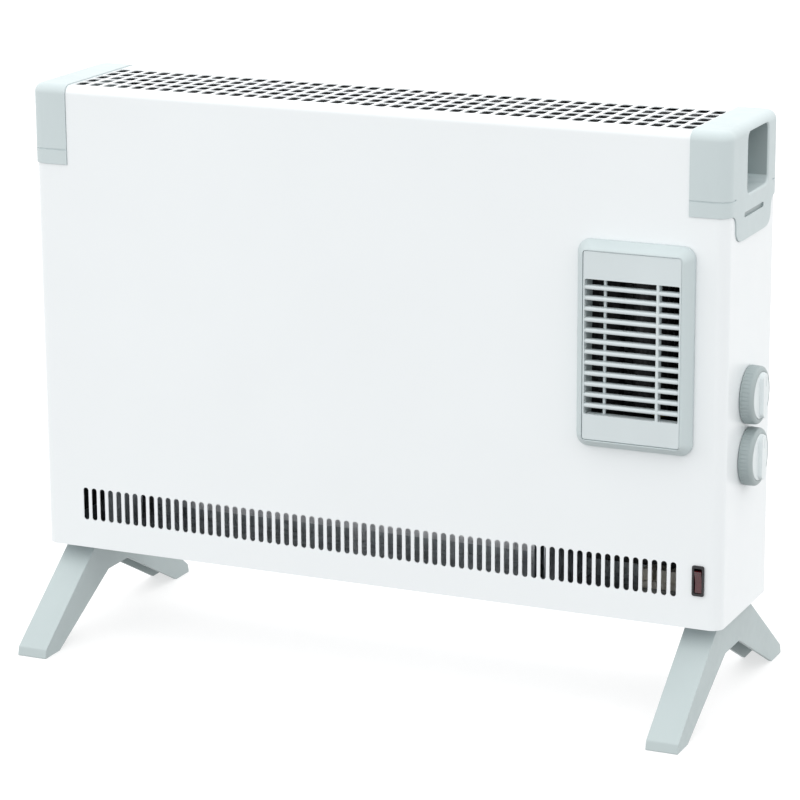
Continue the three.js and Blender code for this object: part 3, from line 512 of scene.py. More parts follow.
def fired_clay(name):
    """Unglazed electrical porcelain: chalky, with fine pores."""
    look = Look(name, 0.62)
    look.mottled(look.noise(300, 4), (0.7, 0.67, 0.58), (0.82, 0.8, 0.73))
    return look.bump(look.noise(1800, 4), 0.06 * MM, 0.6).material


LOOKS = {
    "white_paint": painted("white enamel", (0.85, 0.885, 0.9), 0.34),
    # painted shade: dark grey for the sheet's inner faces, so the cabinet's inside looks shadowed
    "inner_shade": inner_shade_look("grey primer"),
    "grey_plastic": moulded("grey moulding", (0.57, 0.645, 0.655), 0.44),
    # painted shade: a darker copy of the grey moulding for the feet, which stand low under the cabinet
    "shaded_foot_plastic": moulded("shaded foot moulding", (0.465, 0.535, 0.54), 0.46),
    "pale_plastic": moulded("pale moulding", (0.65, 0.715, 0.73), 0.4, 0.03),
    # painted light: a lighter copy of the pale moulding for the knobs' faces, which face the light
    "lit_knob_face": moulded("lit knob moulding", (0.77, 0.825, 0.835), 0.38, 0.03),
    # painted shade: a darker grey moulding for the knob skirts, the hand-hold liners and the slit in each cap
    "knob_plastic": moulded("shaded grey moulding", (0.36, 0.42, 0.425), 0.42, 0.03),
    "black_plastic": moulded("black moulding", (0.014, 0.014, 0.016), 0.34, 0.03),
    "neon_red": lit_red("red key"),
    "bright_steel": rolled_metal("bright steel", (0.62, 0.63, 0.65), 0.28, (1, 1, 0.12)),
    "galvanised": zinc_coated("galvanised sheet"),
    "aluminium": rolled_metal("rolled aluminium", (0.74, 0.75, 0.77), 0.3, (0.06, 1, 1), 700),
    # partly painted shade: the fan's parts are black so the outlet's inside looks shadowed
    "blackened": dark_coating_and_shade("black coating and shade"),
    "copper": wound_copper("copper winding"),
    "mica": mica_board("mica board"),
    "ceramic": fired_clay("porcelain"),
    "brass": rolled_metal("brass", (0.66, 0.48, 0.2), 0.3, (1, 1, 0.2)),
}


# ---------- places, from the frame ----------

cover_low, cover_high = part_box("front_cover")
cap_low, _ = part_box("end_cap_right")
MID_X = (cover_low.x + cover_high.x) / 2
HALF_W = (cover_high.x - cover_low.x) / 2
FRONT, BACK = cover_low.y, cover_high.y
BASE, TOP = cover_low.z, cover_high.z
CAP_X = cap_low.x - MID_X
CAP_Z = cap_low.z + CAP_WRAP
SIDE_EDGE_LOW = cap_low.z


def middle_of(name):
    """Middle of a node's box, as plain numbers."""
    return [(a + b) / 2 for a, b in zip(*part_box(name))]


# ---------- cabinet ----------

def cabinet(inset, base, steps=10):
    """The cabinet as rings from its base up, drawn in by inset; its upper edge is rounded."""
    edge = TOP_R - inset
    profile = [(0, base)]
    for angle in quarter(steps):
        profile.append((edge * (1 - math.cos(angle)), TOP - inset - edge * (1 - math.sin(angle))))
    rings = []
    for lean, z in profile:
        grow = inset + lean
        front, rear = FRONT_R - grow, BACK_R - grow
        outline = corners(MID_X - HALF_W + grow, MID_X + HALF_W - grow, FRONT + grow, BACK - grow,
                          [front, rear, rear, front], steps)
        rings.append([(x, y, z) for x, y in outline])
    return rings


def sheet_shell(name):
    """The whole cabinet as a bent sheet, open below."""
    return cut(solid(name, cabinet(0, BASE)), cabinet(SHEET, BASE - BEYOND))


def side_edge(grow):
    """Outline in Y and Z of an end cap's side, with its swept lower corners; it runs on upwards."""
    low, high = SIDE_EDGE_LOW - grow, CAP_Z - grow
    halfway = (low + high) / 2
    flat, drop, shoulder = SIDE_EDGE["flat"], SIDE_EDGE["drop"] + grow, SIDE_EDGE["shoulder"] + grow

    def curve(start, bend, end, steps=8):
        points = []
        for step in range(steps):
            t = step / steps
            points.append(tuple((1 - t) ** 2 * a + 2 * t * (1 - t) * b + t * t * c
                                for a, b, c in zip(start, bend, end)))
        return points

    right = curve((flat, low), (drop, low), (drop, halfway))
    right += curve((drop, halfway), (drop, high), (shoulder, high))
    right += [(shoulder, high), (shoulder, high + THROUGH)]
    return right + [(-y, z) for y, z in reversed(right)]


def across(side, a, b):
    """Lower and upper X of a stretch from a to b, measured from the middle towards one end."""
    return sorted([MID_X + side * a, MID_X + side * b])


def cap_space(side, grow):
    """What an end cap takes up at one end, with grow as the clearance round it."""
    ends = across(side, CAP_X - grow, HALF_W + BEYOND)
    space = solid("space", brick(*ends, FRONT - BEYOND, BACK + BEYOND, CAP_Z - grow, TOP + BEYOND))
    ends = across(side, HALF_W - SIDE_EDGE["inset"] - grow, HALF_W + BEYOND)
    return joined(space, prism(side_edge(grow), "x", *ends))


def hole(outline, axis, at):
    """Cutter for a hole through a sheet that lies at one place along an axis."""
    return prism(outline, axis, at - THROUGH, at + THROUGH)


def slot_row(y, count, shift=0.0):
    """Upright slots with round ends, through the sheet at one depth."""
    slots = []
    half = INTAKE["width"] / 2
    for i in range(count):
        x = MID_X + shift + (i - (count - 1) / 2) * INTAKE["pitch"]
        outline = corners(x - half, x + half, BASE + INTAKE["low"], BASE + INTAKE["high"],
                          half * INTAKE["end"], 4)
        slots.append(hole(outline, "y", y))
    return slots


BACK_SCREWS = [f"back_screw_{number}" for number in (1, 2, 3, 4)]


def back_holes(names, radius, y, steps):
    """Round holes through the sheet at one depth, in line with each named piece."""
    holes = []
    for name in names:
        x, _, z = middle_of(name)
        holes.append(hole(circle(x, z, radius, steps), "y", y))
    return holes


def inside_box(name, margin_x, margin_z, radius, steps):
    """Outline in X and Z of a node's box, drawn in at its sides and at its ends."""
    low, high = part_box(name)
    return corners(low.x + margin_x, high.x - margin_x, low.z + margin_z, high.z - margin_z, radius, steps)


def make_cover():
    cover = sheet_shell("cover")
    panel_low, panel_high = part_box("back_panel")
    window = min(MID_X - panel_low.x, panel_high.x - MID_X) - OPEN_BACK["flange"]
    cut(cover, brick(MID_X - window, MID_X + window, BACK - OPEN_BACK["deep"], BACK + BEYOND, BASE - BEYOND,
                     TOP + BEYOND))
    low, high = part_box("top_grille")
    cut(cover, brick(low.x - GAP, high.x + GAP, low.y - GAP, BACK + BEYOND, TOP - OPEN_BACK["top"],
                     TOP + BEYOND))
    for side in (-1, 1):
        combine(cover, cap_space(side, GAP), "DIFFERENCE")
    cut(cover, *slot_row(FRONT, INTAKE["count"]))
    outlet = inside_box("outlet_bezel", BEZEL["rim"], BEZEL["rim"], BEZEL["hole_r"], 3)
    key = inside_box("rocker_housing", ROCKER["hole_x"], ROCKER["hole_z"], ROCKER["hole_r"], 3)
    openings = [hole(outlet, "y", FRONT), hole(key, "y", FRONT)]
    for name in ("thermostat_knob", "selector_knob"):
        _, y, z = middle_of(name)
        openings.append(hole(circle(y, z, KNOB["hole"]), "x", MID_X + HALF_W))
    cut(cover, *openings, *back_holes(BACK_SCREWS, SCREW["hole"], BACK, 20))
    piece(cover, "front_cover", "white_paint")
    paint_inner_shade(cover)


def make_grille():
    low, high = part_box("top_grille")
    grille = sheet_shell("perforated_top")
    combine(grille, solid("keep", brick(low.x, high.x, low.y, BACK + BEYOND, low.z, TOP + BEYOND)),
            "INTERSECT")
    columns, rows = GRILLE_HOLES
    width, depth, radius = GRILLE_HOLE
    holes = []
    for row in range(rows):
        y = FRONT + GRILLE_FIRST + row * GRILLE_PITCH[1]
        for column in range(columns):
            x = MID_X + (column - (columns - 1) / 2) * GRILLE_PITCH[0]
            outline = corners(x - width / 2, x + width / 2, y - depth / 2, y + depth / 2, radius, 4)
            holes.append(hole(outline, "z", TOP))
    cut(grille, *holes)
    piece(grille, "top_grille", "white_paint")
    paint_inner_shade(grille)


# ---------- end caps ----------

def hold_outline(grow):
    """The hand-hold's opening in Y and Z."""
    top = TOP + CAP_PROUD
    return corners(HOLD["y0"] - grow, HOLD["y1"] + grow, top - HOLD["low"] - grow,
                   top - HOLD["high"] + grow, HOLD["round"] + grow, 8)


def hold_well(side):
    """The hand-hold's hollow from its floor outwards, with a rounded lip at the cap's face."""
    face, lip = HALF_W + CAP_PROUD, HOLD["lip"]
    well = [(face - HOLD["deep"] + along, grow) for along, grow in HOLD_FLOOR]
    for angle in quarter(6):
        well.append((face - lip + lip * math.sin(angle), lip * (1 - math.cos(angle))))
    well.append((face + BEYOND, lip))
    return [[(MID_X + side * along, y, z) for y, z in hold_outline(grow)] for along, grow in well]


def cap_groove(side):
    """The shallow groove round an end cap, which stops short of its swept lower corners."""
    face = HALF_W + CAP_PROUD
    z = TOP + CAP_PROUD - CAP_GROOVE["below"]
    groove = solid("groove", brick(*across(side, CAP_X - THROUGH, face + BEYOND), FRONT - BEYOND,
                                   BACK + BEYOND, z, z + CAP_GROOVE["wide"]))
    combine(groove, solid("core", cabinet(CAP_GROOVE["deep"] - CAP_PROUD, BASE)), "DIFFERENCE")
    stop = SIDE_EDGE["drop"] + CAP_GROOVE["stop"]
    return cut(groove, brick(*across(side, 0, face + BEYOND), -stop, stop, BASE, TOP))


def make_cap(side):
    """An end cap, and the liner of its hand-hold above a sill in the cap's own moulding; the liner is darker grey
    as painted shade in the hollow.
    """
    node = "end_cap_right" if side > 0 else "end_cap_left"
    word = node.removeprefix("end_cap_")
    top, face = TOP + CAP_PROUD, HALF_W + CAP_PROUD
    skin = face - HOLD["skin"]
    liner_floor = face - HOLD["deep"] - HOLD["liner"]
    sill_low = top - HOLD["low"] - WALL
    sill_high = top - HOLD["low"] + HOLD["round"]

    cap = cut(solid(f"{node}_moulding", cabinet(-CAP_PROUD, BASE)), cabinet(WALL - CAP_PROUD, BASE - BEYOND))
    liner = solid(f"shaded_hand_hold_{word}", pillow(hold_outline(HOLD["liner"]), "x",
                                              *across(side, liner_floor, skin), HOLD["edge"], 2))
    cut(liner, hold_well(side))
    cut(liner, brick(*across(side, 0, face + BEYOND), FRONT, BACK, sill_low - WALL, sill_high + FIT))
    # painted shade: the liner is darker grey, standing for the shade in the hand-hold
    piece(liner, node, "knob_plastic")

    cut(cap, prism(hold_outline(HOLD["liner"] + FIT), "x", *across(side, 0, skin)))
    joined(cap, brick(*across(side, liner_floor, skin + OVERLAP), HOLD["y0"] - HOLD["liner"],
                      HOLD["y1"] + HOLD["liner"], sill_low, sill_high))
    cut(cap, hold_well(side))
    combine(cap, cap_space(side, 0), "INTERSECT")
    combine(cap, cap_groove(side), "DIFFERENCE")
    slit_z = top - HOLD_SLIT["below"]
    half = HOLD_SLIT["height"] / 2
    slit = corners(-HOLD_SLIT["half"], HOLD_SLIT["half"], slit_z - half, slit_z + half,
                   half * HOLD_SLIT["end"], 5)
    cut(cap, prism(slit, "x", *across(side, face - HOLD_SLIT["deep"], face + BEYOND)))
    piece(cap, node, "grey_plastic")
    # painted shade: faces inside the slit get the darker grey
    cap.data.materials.append(LOOKS["knob_plastic"])
    for polygon in cap.data.polygons:
        centre = polygon.center
        in_slit = abs(centre.y) < HOLD_SLIT["half"] and abs(centre.z - slit_z) < half
        if in_slit and abs(centre.x - MID_X) < face - 2 * FIT:
            polygon.material_index = 1


# ---------- back panel ----------

def make_back_panel():
    low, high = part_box("back_panel")
    wide = min(MID_X - low.x, high.x - MID_X)
    narrow = wide - PANEL["step"]
    shoulder = CAP_Z - PANEL["below_cap"]
    outline = [(MID_X - wide, low.z), (MID_X + wide, low.z), (MID_X + wide, shoulder),
               (MID_X + narrow, shoulder), (MID_X + narrow, high.z), (MID_X - narrow, high.z),
               (MID_X - narrow, shoulder), (MID_X - wide, shoulder)]
    outer = softened(outline, PANEL["corner"])
    panel = solid("back_sheet", pillow(outer, "y", low.y, high.y, EDGE, 2))
    cut(panel, prism(drawn_in(outer, SHEET), "y", low.y - BEYOND, high.y - SHEET))
    cut(panel, *slot_row(high.y, BACK_VENT["count"], BACK_VENT["shift"]),
        *back_holes(BACK_SCREWS, SCREW["hole"], high.y, 20),
        *back_holes(["cable_gland"], GLAND["hole"], high.y, 40))
    piece(panel, "back_panel", "white_paint")
    paint_inner_shade(panel)


# ---------- fan outlet ----------

def make_bezel():
    low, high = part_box("outlet_bezel")
    louvre_low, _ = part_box("outlet_louvre")
    seat = FRONT - GAP
    rings = []
    for forward, inward in BEZEL_RINGS:
        grow = inward * MM
        outline = inside_box("outlet_bezel", grow, grow, BEZEL["corner"] - BEZEL["tighter"] * grow, 8)
        rings.append([(x, seat - forward * MM, z) for x, z in outline])
    bezel = solid("outlet_surround", rings)

    def opening(grow, radius):
        rim = BEZEL["rim"] + grow
        return inside_box("outlet_bezel", rim, rim, radius, 4)

    joined(bezel, prism(opening(GAP, BEZEL["neck_r"]), "y", seat - 2 * OVERLAP, high.y))
    panel_back = louvre_low.y + LOUVRE["plate"]
    cut(bezel, prism(opening(0, BEZEL["recess_r"]), "y", low.y - BEYOND, panel_back + GAP))
    cut(bezel, prism(opening(BEZEL["ledge"], BEZEL["hole_r"]), "y", low.y - BEYOND, high.y + BEYOND))
    piece(bezel, "outlet_bezel", "grey_plastic")


def slat(x0, x1, face, depth, z_low, z_high):
    """One louvre blade: a round nose, thinner towards the back, and a little higher there."""
    half = (z_high - z_low) / 2
    middle = (z_low + z_high) / 2
    outline = []
    for step in range(9):
        angle = math.radians(90 + 180 * step / 8)
        outline.append((face + half * (1 + math.cos(angle)) * SLAT["nose"], middle + half * math.sin(angle)))
    share = depth / LOUVRE["slat"]
    profile = [SLAT["belly"], (share, SLAT["tail"] - SLAT["taper"] * share)]
    under = [(share, -thick) for share, thick in profile]
    for share, thick in under + profile[::-1]:
        outline.append((face + LOUVRE["slat"] * share, middle + LOUVRE["lift"] * share + half * thick))
    return [[(x, y, z) for y, z in outline] for x in (x0, x1)]


def make_louvre():
    low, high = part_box("outlet_louvre")
    face, plate_back = low.y, low.y + LOUVRE["plate"]
    first = high.z - LOUVRE["from_top"]
    last = first - (LOUVRE["slots"] - 1) * LOUVRE["pitch"] - LOUVRE["gap"]
    left, right = low.x + LOUVRE["frame"], high.x - LOUVRE["frame"]
    plate = corners(low.x, high.x, low.z, high.z, LOUVRE["corner"], 5)
    louvre = solid("outlet_slats", pillow(plate, "y", face, plate_back, LOUVRE["edge"]))
    skirt = inside_box("outlet_louvre", LOUVRE["skirt"], LOUVRE["skirt"], LOUVRE["skirt_r"], 3)
    joined(louvre, prism(skirt, "y", plate_back - 2 * OVERLAP, high.y))
    window = corners(left, right, last, first, LOUVRE["window_r"], 4)
    cut(louvre, prism(window, "y", face - BEYOND, high.y + BEYOND))
    # Hollow behind the plain strips above and below the slots, so that the moulding is a wall thick.
    outside, inside = LOUVRE["strip"]
    for z0, z1 in ((low.z + outside, last - inside), (first + inside, high.z - outside)):
        cut(louvre, brick(left, right, face + LOUVRE["wall"], high.y + BEYOND, z0, z1))
    # Each blade is a stub that reaches into the frame, and the full blade just clear of it.
    for i in range(LOUVRE["slots"] - 1):
        top = first - i * LOUVRE["pitch"] - LOUVRE["gap"]
        bottom = top - LOUVRE["pitch"] + LOUVRE["gap"]
        joined(louvre, slat(left - OVERLAP, right + OVERLAP, face + SLAT["stub_back"], SLAT["stub"],
                            bottom + FIT, top - FIT))
        joined(louvre, slat(left + SLAT["clear"], right - SLAT["clear"], face + SLAT["back"],
                            LOUVRE["slat"], bottom, top))
    for x, y in zip(LOUVRE["ribs"], (high.y - RIB["thin"], face + RIB["back"])):
        rib = corners(low.x + x - RIB["half"], low.x + x + RIB["half"], y, high.y - OVERLAP, RIB["round"], 4)
        joined(louvre, prism(rib, "z", last - 2 * OVERLAP, first + 2 * OVERLAP))
    piece(louvre, "outlet_louvre", "pale_plastic")


# ---------- controls ----------

def make_knob(name):
    """A fluted skirt in a darker grey as painted shade, and a face in a lighter grey as painted light, with a grip
    across it and a groove that marks its setting.
    """
    low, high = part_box(name)
    _, y, z = middle_of(name)
    radius = (high.z - low.z) / 2
    base, face = low.x, high.x
    rim = face - KNOB["grip_high"]
    seat = rim - KNOB["sunk"]
    well = radius - KNOB["rim"]
    shoulder = KNOB["shoulder"]
    profile = [(0, base), (radius - 0.6 * MM, base), (radius, base + 0.7 * MM)]
    for angle in quarter(8):
        profile.append((radius - KNOB["taper"] - shoulder * (1 - math.cos(angle)),
                        rim - shoulder * KNOB["flatter"] * (1 - math.sin(angle))))
    profile += [(well, rim - 0.2 * MM), (well - 0.2 * MM, rim - 0.5 * MM), (well - 0.2 * MM, seat), (0, seat)]
    skirt = turned(f"{name}_skirt", profile, (0, y, z), "x", 96)
    flutes = []
    for i in range(FLUTES["count"]):
        angle = 2 * math.pi * i / FLUTES["count"]
        away = radius + FLUTES["radius"] - FLUTES["deep"]
        flute = circle(y + away * math.cos(angle), z + away * math.sin(angle), FLUTES["radius"], 14)
        flutes.append(prism(flute, "x", base + FLUTES["from_base"], rim - FLUTES["from_rim"]))
    cut(skirt, *flutes)
    cut(skirt, prism(circle(y, z, KNOB["bore"], 24), "x", base - BEYOND, base + KNOB["bore_deep"]))
    body = "thermostat_control" if name.startswith("thermostat") else "selector_control"
    # painted shade: the skirt gets the darker grey
    piece(skirt, name, "knob_plastic", body)

    disc = circle(y, z, well - KNOB["face_gap"], 72)
    insert = solid(f"{name}_face", pillow(disc, "x", seat + KNOB["face_lift"], rim + FIT, 0.3 * MM, 3))
    half, reach = KNOB["grip_half"], radius - KNOB["grip_short"]
    grip = corners(y - half, y + half, z - reach, z + reach, half * KNOB["grip_end"], 10)
    joined(insert, pillow(grip, "x", rim - 0.6 * MM, face, 0.5 * MM, 5))
    mark = corners(y - MARK["half"], y + MARK["half"], z + reach - MARK["low"], z + reach - MARK["high"],
                   MARK["round"], 4)
    cut(insert, prism(mark, "x", face - MARK["deep"], face + BEYOND))
    # painted light: the face gets the lighter grey
    piece(insert, name, "pale_plastic", body, look="lit_knob_face")


def make_rocker_frame():
    low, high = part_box("rocker_housing")
    x, _, z = middle_of("rocker_housing")
    flange = inside_box("rocker_housing", 0, 0, ROCKER["corner"], 6)
    housing = solid("rocker_frame", pillow(flange, "y", low.y, low.y + ROCKER["flange"], ROCKER["edge"]))
    body = inside_box("rocker_housing", ROCKER["body_x"], ROCKER["body_z"], ROCKER["body_r"], 3)
    joined(housing, prism(body, "y", low.y + ROCKER["lap"], low.y + ROCKER["body_deep"]))
    well = inside_box("rocker_housing", ROCKER["well_x"], ROCKER["well_z"], ROCKER["well_r"], 4)
    cut(housing, prism(well, "y", low.y - BEYOND, low.y + ROCKER["well_deep"]))
    half, thick = TAG["half"], TAG["thick"] / 2
    for lift in (-TAG["pitch"], 0, TAG["pitch"]):
        joined(housing, brick(x - half, x + half, low.y + TAG["back"], high.y, z + lift - thick,
                              z + lift + thick))
    piece(housing, "rocker_housing", "black_plastic")


def make_rocker_key():
    """The key's section with its dished front, turned from mid travel to its place at rest."""
    low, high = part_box("rocker_button")
    joint = next(j for j in frame["joints"] if j["name"] == "rocker_tilt")
    pivot = Vector(joint["pos_m"])
    turn = Matrix.Rotation(math.radians(joint["range_deg"][1] / 2), 2)
    half, front, tail = KEY["half"], KEY["front"], KEY["tail"]
    outline = [(-front, -half), (-0.5 * MM, -half + MM), (tail, -tail), (tail, tail),
               (-0.5 * MM, half - MM), (-front, half)]
    for step in range(1, 12):
        t = step / 12
        outline.append((-front + KEY["dish"] * math.sin(math.pi * t), half - 2 * half * t))
    side = (high.x - low.x) / 2
    rounding = [(0, 0.5 * MM), (0.2 * MM, 0.15 * MM), (0.5 * MM, 0)]
    sections = [(along - side, inset) for along, inset in rounding]
    sections += [(side - along, inset) for along, inset in reversed(rounding)]
    rings = []
    for along, inset in sections:
        moved = [turn @ Vector(point) for point in drawn_in(outline, inset)]
        rings.append([(pivot.x + along, pivot.y + p.x, pivot.z + p.y) for p in moved])
    key = solid("rocker_key", rings)
    piece(key, "rocker_button", "neon_red", "rocker")


# ---------- feet ----------

def make_foot(word):
    """A splayed foot, hollow from below, with a boss for each of its two screws."""
    low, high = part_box(f"foot_{word}")
    top, tip = high.z, high.y
    wall, web, toe = FOOT["wall"], FOOT["web"], tip - FOOT["toe_lean"]
    half = [(FOOT["crown"], top), (toe, FOOT["toe_high"]), (tip, 0), (tip - FOOT["toe_long"], 0),
            (FOOT["arch"], top - FOOT["arch_deep"])]
    mirrored = [(-y, z) for y, z in reversed(half)]
    outline = list(reversed(half + mirrored))
    order = softened(outline, FOOT["radii"] + FOOT["radii"][::-1])
    foot = solid(f"splayed_foot_{word}", pillow(order, "x", low.x, high.x, FOOT["edge"], 3))
    hollow = [(FOOT["crown"] - MM, top - web), (toe - web, FOOT["hollow_low"]),
              (toe - web, -FOOT["hollow_low"])]
    hollow += [(-y, z) for y, z in reversed(hollow)]
    cut(foot, prism(hollow, "x", low.x + wall, high.x - wall))
    for end in ("front", "back"):
        x, y, _ = middle_of(f"foot_screw_{word}_{end}")
        joined(foot, prism(circle(x, y, BOSS["radius"], 40), "z", top - web - BOSS["long"], top - web + MM))
        cut(foot, prism(circle(x, y, BOSS["bore"], 40), "z", top - BEYOND, top - web - MM))
        cut(foot, prism(circle(x, y, BOSS["shank"], 24), "z", top - BEYOND, top + THROUGH))
    # painted shade: the feet get the darker copy of the grey moulding
    piece(foot, f"foot_{word}", "grey_plastic", look="shaded_foot_plastic")


# ---------- screws and gland ----------

def make_screw(node, axis, outward):
    """Pan-head screw with a cross recess; outward is the way its head looks along its axis."""
    low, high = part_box(node)
    index = "xyz".index(axis)
    centre = (low + high) / 2
    centre[index] = 0
    sideways = (index + 1) % 3
    head_r = (high[sideways] - low[sideways]) / 2
    end = high[index] if outward > 0 else low[index]
    tail = low[index] if outward > 0 else high[index]
    thick = SCREW["head"][axis]
    shank = SCREW["shank"] * head_r
    seat = end - outward * thick
    profile = [(0, tail), (shank * SCREW["tip"], tail), (shank, tail + outward * SCREW["tip_long"]),
               (shank, seat), (head_r, seat), (head_r, seat + outward * 0.5 * thick)]
    for angle in quarter(6)[1:-1]:
        profile.append((head_r * math.cos(angle), seat + outward * thick * (0.5 + 0.5 * math.sin(angle))))
    profile.append((0, seat + outward * thick))
    screw = turned(f"{node}_head", profile, centre, axis, 32)
    slim, wide = SCREW["slim"], SCREW["wide"] * head_r
    depth = sorted([end - outward * SCREW["recess"], end + outward * MM])
    u, v = {"y": (centre.x, centre.z), "z": (centre.x, centre.y)}[axis]
    for du, dv in ((slim, wide), (wide, slim)):
        cut(screw, prism(corners(u - du, u + du, v - dv, v + dv, 0.2 * MM, 2), axis, *depth))
    piece(screw, node, "bright_steel")


def make_gland():
    """A flanged bush with a rounded face, and a bore that flares at its mouth."""
    low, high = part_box("cable_gland")
    x, _, z = middle_of("cable_gland")
    radius = (high.x - low.x) / 2
    neck, bore = GLAND["neck"], GLAND["bore"]
    seat = high.y - GLAND["flange"]
    profile = [(0, low.y), (neck, low.y), (neck, seat), (radius, seat)]
    profile += [(radius - inward * MM, seat + up * MM) for inward, up in GLAND["face"]]
    profile += [(radius - 3.2 * MM, high.y - 0.2 * MM), (radius - 3.6 * MM, high.y), (0, high.y)]
    gland = turned("cord_gland", profile, (x, 0, z), "y", 48)
    mouth = [(bore, low.y - BEYOND)]
    mouth += [(bore + wider * MM, high.y - under * MM) for wider, under in GLAND["mouth"]]
    mouth.append((mouth[-1][0], high.y + BEYOND))
    cut(gland, [[(x + u, y, z + v) for u, v in circle(0, 0, r, 40)] for r, y in mouth])
    piece(gland, "cable_gland", "black_plastic")


# ---------- fan and heating ----------

def make_impeller():
    """A cross-flow impeller: three discs, forward-curved blades through them, and a hub at each end."""
    low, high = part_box("fan_impeller")
    x, y, _ = middle_of("fan_impeller")
    radius = (high.x - low.x) / 2
    bottom, top = low.z + FAN["hub_below"], high.z - FAN["hub_above"]
    disc = FAN["disc"]
    lofts = [pillow(circle(x, y, radius, 64), "z", z, z + disc, EDGE, 2)
             for z in (bottom, (bottom + top) / 2 - disc / 2, top - disc)]
    impeller = solid("cross_flow_impeller", *lofts)
    strips = []
    for blade in range(FAN["blades"]):
        around = 2 * math.pi * blade / FAN["blades"]
        outer, inner = [], []
        for step in range(7):
            t = step / 6
            r = radius - FAN["blade_inset"] - FAN["blade_wide"] * t
            lean = around + FAN["sweep"] * math.sin(math.pi * 0.5 * t)
            for line, thick in ((outer, FAN["blade"] / 2), (inner, -FAN["blade"] / 2)):
                line.append((x + r * math.cos(lean) - thick * math.sin(lean),
                             y + r * math.sin(lean) + thick * math.cos(lean)))
        strips.append(prism(outer + inner[::-1], "z", bottom + EDGE, top - EDGE))
    joined(impeller, *strips)
    for z0, z1 in ((low.z, bottom + FAN["hub"]), (top - FAN["hub"], high.z)):
        joined(impeller, pillow(circle(x, y, FAN["hub"], 40), "z", z0, z1, EDGE, 2))
    cut(impeller, prism(circle(x, y, FAN["bore"], 32), "z", low.z - BEYOND, high.z + BEYOND))
    piece(impeller, "fan_impeller", "blackened", "fan_rotor")


def make_ribbon(number):
    """Heating ribbon wound round its board: a flat strip along a helix with round corners."""
    low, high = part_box(f"element_wire_{number}")
    _, middle_y, middle_z = middle_of(f"element_wire_{number}")
    thick, margin, turns = RIBBON["thick"], RIBBON["margin"], RIBBON["turns"]
    pitch = (high.x - low.x - 2 * margin) / turns
    ring = corners(low.y + thick, high.y - thick, low.z + thick, high.z - thick, RIBBON["round"], 3)
    bm = bmesh.new()
    strips = []
    for turn in range(turns):
        for step, (y, z) in enumerate(ring):
            x = low.x + margin + (turn + step / len(ring)) * pitch
            x0, x1 = x - RIBBON["wide"] / 2, x + RIBBON["wide"] / 2
            away = Vector((y - middle_y, z - middle_z))
            at_end = abs(away.y) >= (high.z - middle_z) * RIBBON["end_share"]
            out = Vector((math.copysign(min(1, abs(away.x) / (high.y - middle_y)), away.x),
                          math.copysign(1, away.y) if at_end else 0))
            out = out.normalized() * thick * RIBBON["half_share"]
            section = [(x0, y - out.x, z - out.y), (x1, y - out.x, z - out.y),
                       (x1, y + out.x, z + out.y), (x0, y + out.x, z + out.y)]
            strips.append([bm.verts.new(point) for point in section])
    for a, b in zip(strips, strips[1:]):
        for i in range(4):
            j = (i + 1) % 4
            bm.faces.new((a[i], a[j], b[j], b[i]))
    bm.faces.new(reversed(strips[0]))
    bm.faces.new(strips[-1])
    ribbon = thing(f"heating_ribbon_{number}", bm)
    piece(ribbon, f"element_wire_{number}", "bright_steel")


def make_bar(name, node, axis, body):
    """A round steel bar that fills its node's box."""
    low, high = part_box(node)
    along = "xyz".index(axis)
    one, other = [index for index in range(3) if index != along]
    middle = middle_of(node)
    radius = (high[one] - low[one]) / 2
    bar = solid(name, pillow(circle(middle[one], middle[other], radius, 32), axis, low[along], high[along],
                             EDGE, 2))
    piece(bar, node, "bright_steel", body)


def paint_frame_nodes():
    """Every node that keeps its CAD shape gets its slot's material."""
    slots = {part["node"]: part["material_slot"] for part in frame["record"]["subparts"]}
    for name, obj in frame["nodes"].items():
        obj.data.materials.clear()
        obj.data.materials.append(LOOKS[slots[name]])


# ---------- room ----------

AZIMUTH, ELEVATION, ROLL = 24.213, 15.016, -0.344
DISTANCE = 2.7975
SENSOR = 36                    # width, in the camera's own millimetres
FOCAL_SHARE = 3317.68 / 800    # focal length over the picture's width
TARGET_X, TARGET_Y = -3.4 * MM, -3 * MM
TARGET_ABOVE = -15.7 * MM      # the view's middle, from the middle of the whole heater's box

FLOOR_HALF = 12
FLOOR_UNDER = 0.05 * MM        # the floor lies this far under the feet
SKY = {"From Min": -0.25, "From Max": 0.25, "To Min": 0.5, "To Max": 1.4}
LAMPS = {"overhead": {"place": (0.1, 0.35, 2.7), "size": 2.2, "power": 4},
         "left": {"place": (-1.6, -1.5, 1.5), "size": 1.4, "power": 4}}
LAMPS_LOOK_AT = (0, 0, 0.25)


def make_camera():
    low, high = CAD_BOX
    middle = (low + high) / 2
    azimuth, elevation = math.radians(AZIMUTH), math.radians(ELEVATION)
    back = Vector((math.sin(azimuth) * math.cos(elevation), -math.cos(azimuth) * math.cos(elevation),
                   math.sin(elevation)))
    right = Vector((math.cos(azimuth), math.sin(azimuth), 0))
    up = back.cross(right)
    target = Vector((TARGET_X, TARGET_Y, middle.z + TARGET_ABOVE))
    camera = bpy.data.objects.new("camera", bpy.data.cameras.new("camera"))
    camera.data.sensor_width = SENSOR
    camera.data.lens = SENSOR * FOCAL_SHARE
    camera.data.clip_end = 50
    turn = Matrix((right, up, back)).transposed().to_4x4() @ Matrix.Rotation(math.radians(ROLL), 4, "Z")
    camera.matrix_world = Matrix.Translation(target + back * DISTANCE) @ turn
    bpy.context.scene.collection.objects.link(camera)
    bpy.context.scene.camera = camera


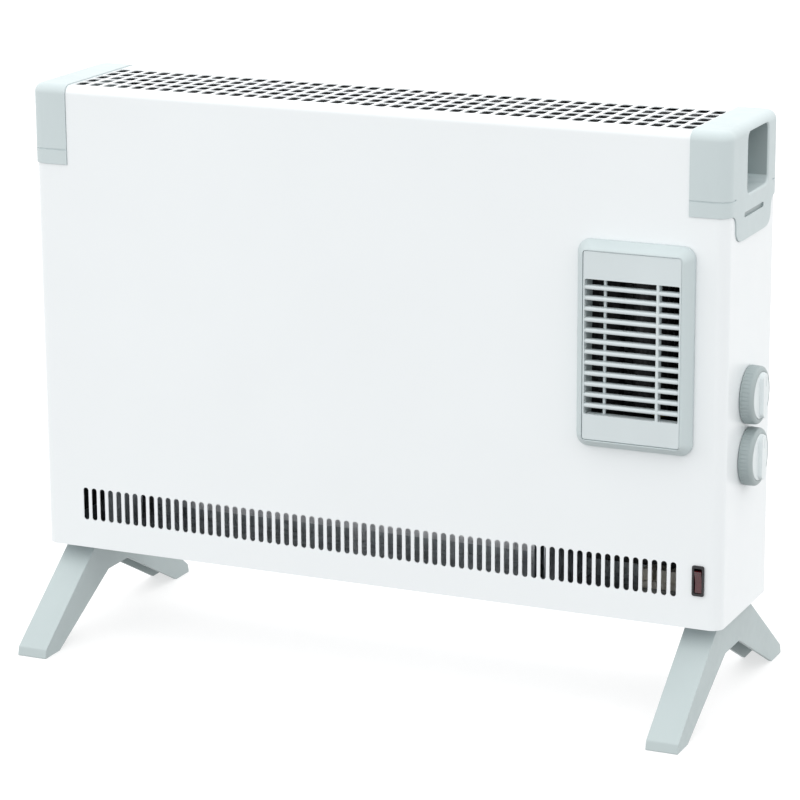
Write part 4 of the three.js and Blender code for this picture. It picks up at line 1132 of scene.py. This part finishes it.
def make_floor():
    bm = bmesh.new()
    bmesh.ops.create_grid(bm, x_segments=1, y_segments=1, size=FLOOR_HALF)
    floor = thing("floor", bm)
    floor.location.z = -FLOOR_UNDER
    look = Look("pale floor", 0.8, Emission_Color=(1, 1, 1, 1), Emission_Strength=0.62)
    look.mottled(look.noise(1.5, 3), (0.41, 0.41, 0.41), (0.43, 0.43, 0.43))
    floor.data.materials.append(look.material)
    floor.visible_diffuse = False  # the light from below is the world's, which is dimmer than the floor


def make_lights():
    """Light from every side, stronger from above than from below, and soft lamps overhead and at the left."""
    world = bpy.data.worlds.new("studio")
    world.use_nodes = True
    tree = world.node_tree
    where = tree.nodes.new("ShaderNodeSeparateXYZ")
    tree.links.new(tree.nodes.new("ShaderNodeTexCoord").outputs["Generated"], where.inputs[0])
    height = tree.nodes.new("ShaderNodeMapRange")
    for socket, value in SKY.items():
        height.inputs[socket].default_value = value
    tree.links.new(where.outputs["Z"], height.inputs["Value"])
    background = tree.nodes["Background"]
    tree.links.new(height.outputs["Result"], background.inputs["Strength"])
    background.inputs["Color"].default_value = (1, 1, 1, 1)
    bpy.context.scene.world = world
    for name, lamp in LAMPS.items():
        light = bpy.data.lights.new(name, "AREA")
        light.size = lamp["size"]
        light.energy = lamp["power"]
        obj = bpy.data.objects.new(name, light)
        obj.location = lamp["place"]
        obj.rotation_euler = (Vector(LAMPS_LOOK_AT) - obj.location).to_track_quat("-Z", "Y").to_euler()
        bpy.context.scene.collection.objects.link(obj)


# ---------- everything ----------

make_camera()
make_lights()
make_floor()
paint_frame_nodes()
make_cover()
make_grille()
make_back_panel()
make_bezel()
make_louvre()
make_rocker_frame()
make_rocker_key()
make_gland()
make_impeller()
make_bar("fan_spindle", "fan_shaft", "z", "fan_rotor")
for control in ("thermostat", "selector"):
    make_bar(f"{control}_stem", f"{control}_spindle", "x", f"{control}_control")
for end in (-1, 1):
    make_cap(end)
    make_foot("right" if end > 0 else "left")
for knob_name in ("thermostat_knob", "selector_knob"):
    make_knob(knob_name)
for screw_name in BACK_SCREWS:
    make_screw(screw_name, "y", 1)
for foot_word in ("left", "right"):
    for foot_end in ("front", "back"):
        make_screw(f"foot_screw_{foot_word}_{foot_end}", "z", -1)
for board in (1, 2):
    make_ribbon(board)

bpy.context.scene.view_settings.view_transform = "Standard"
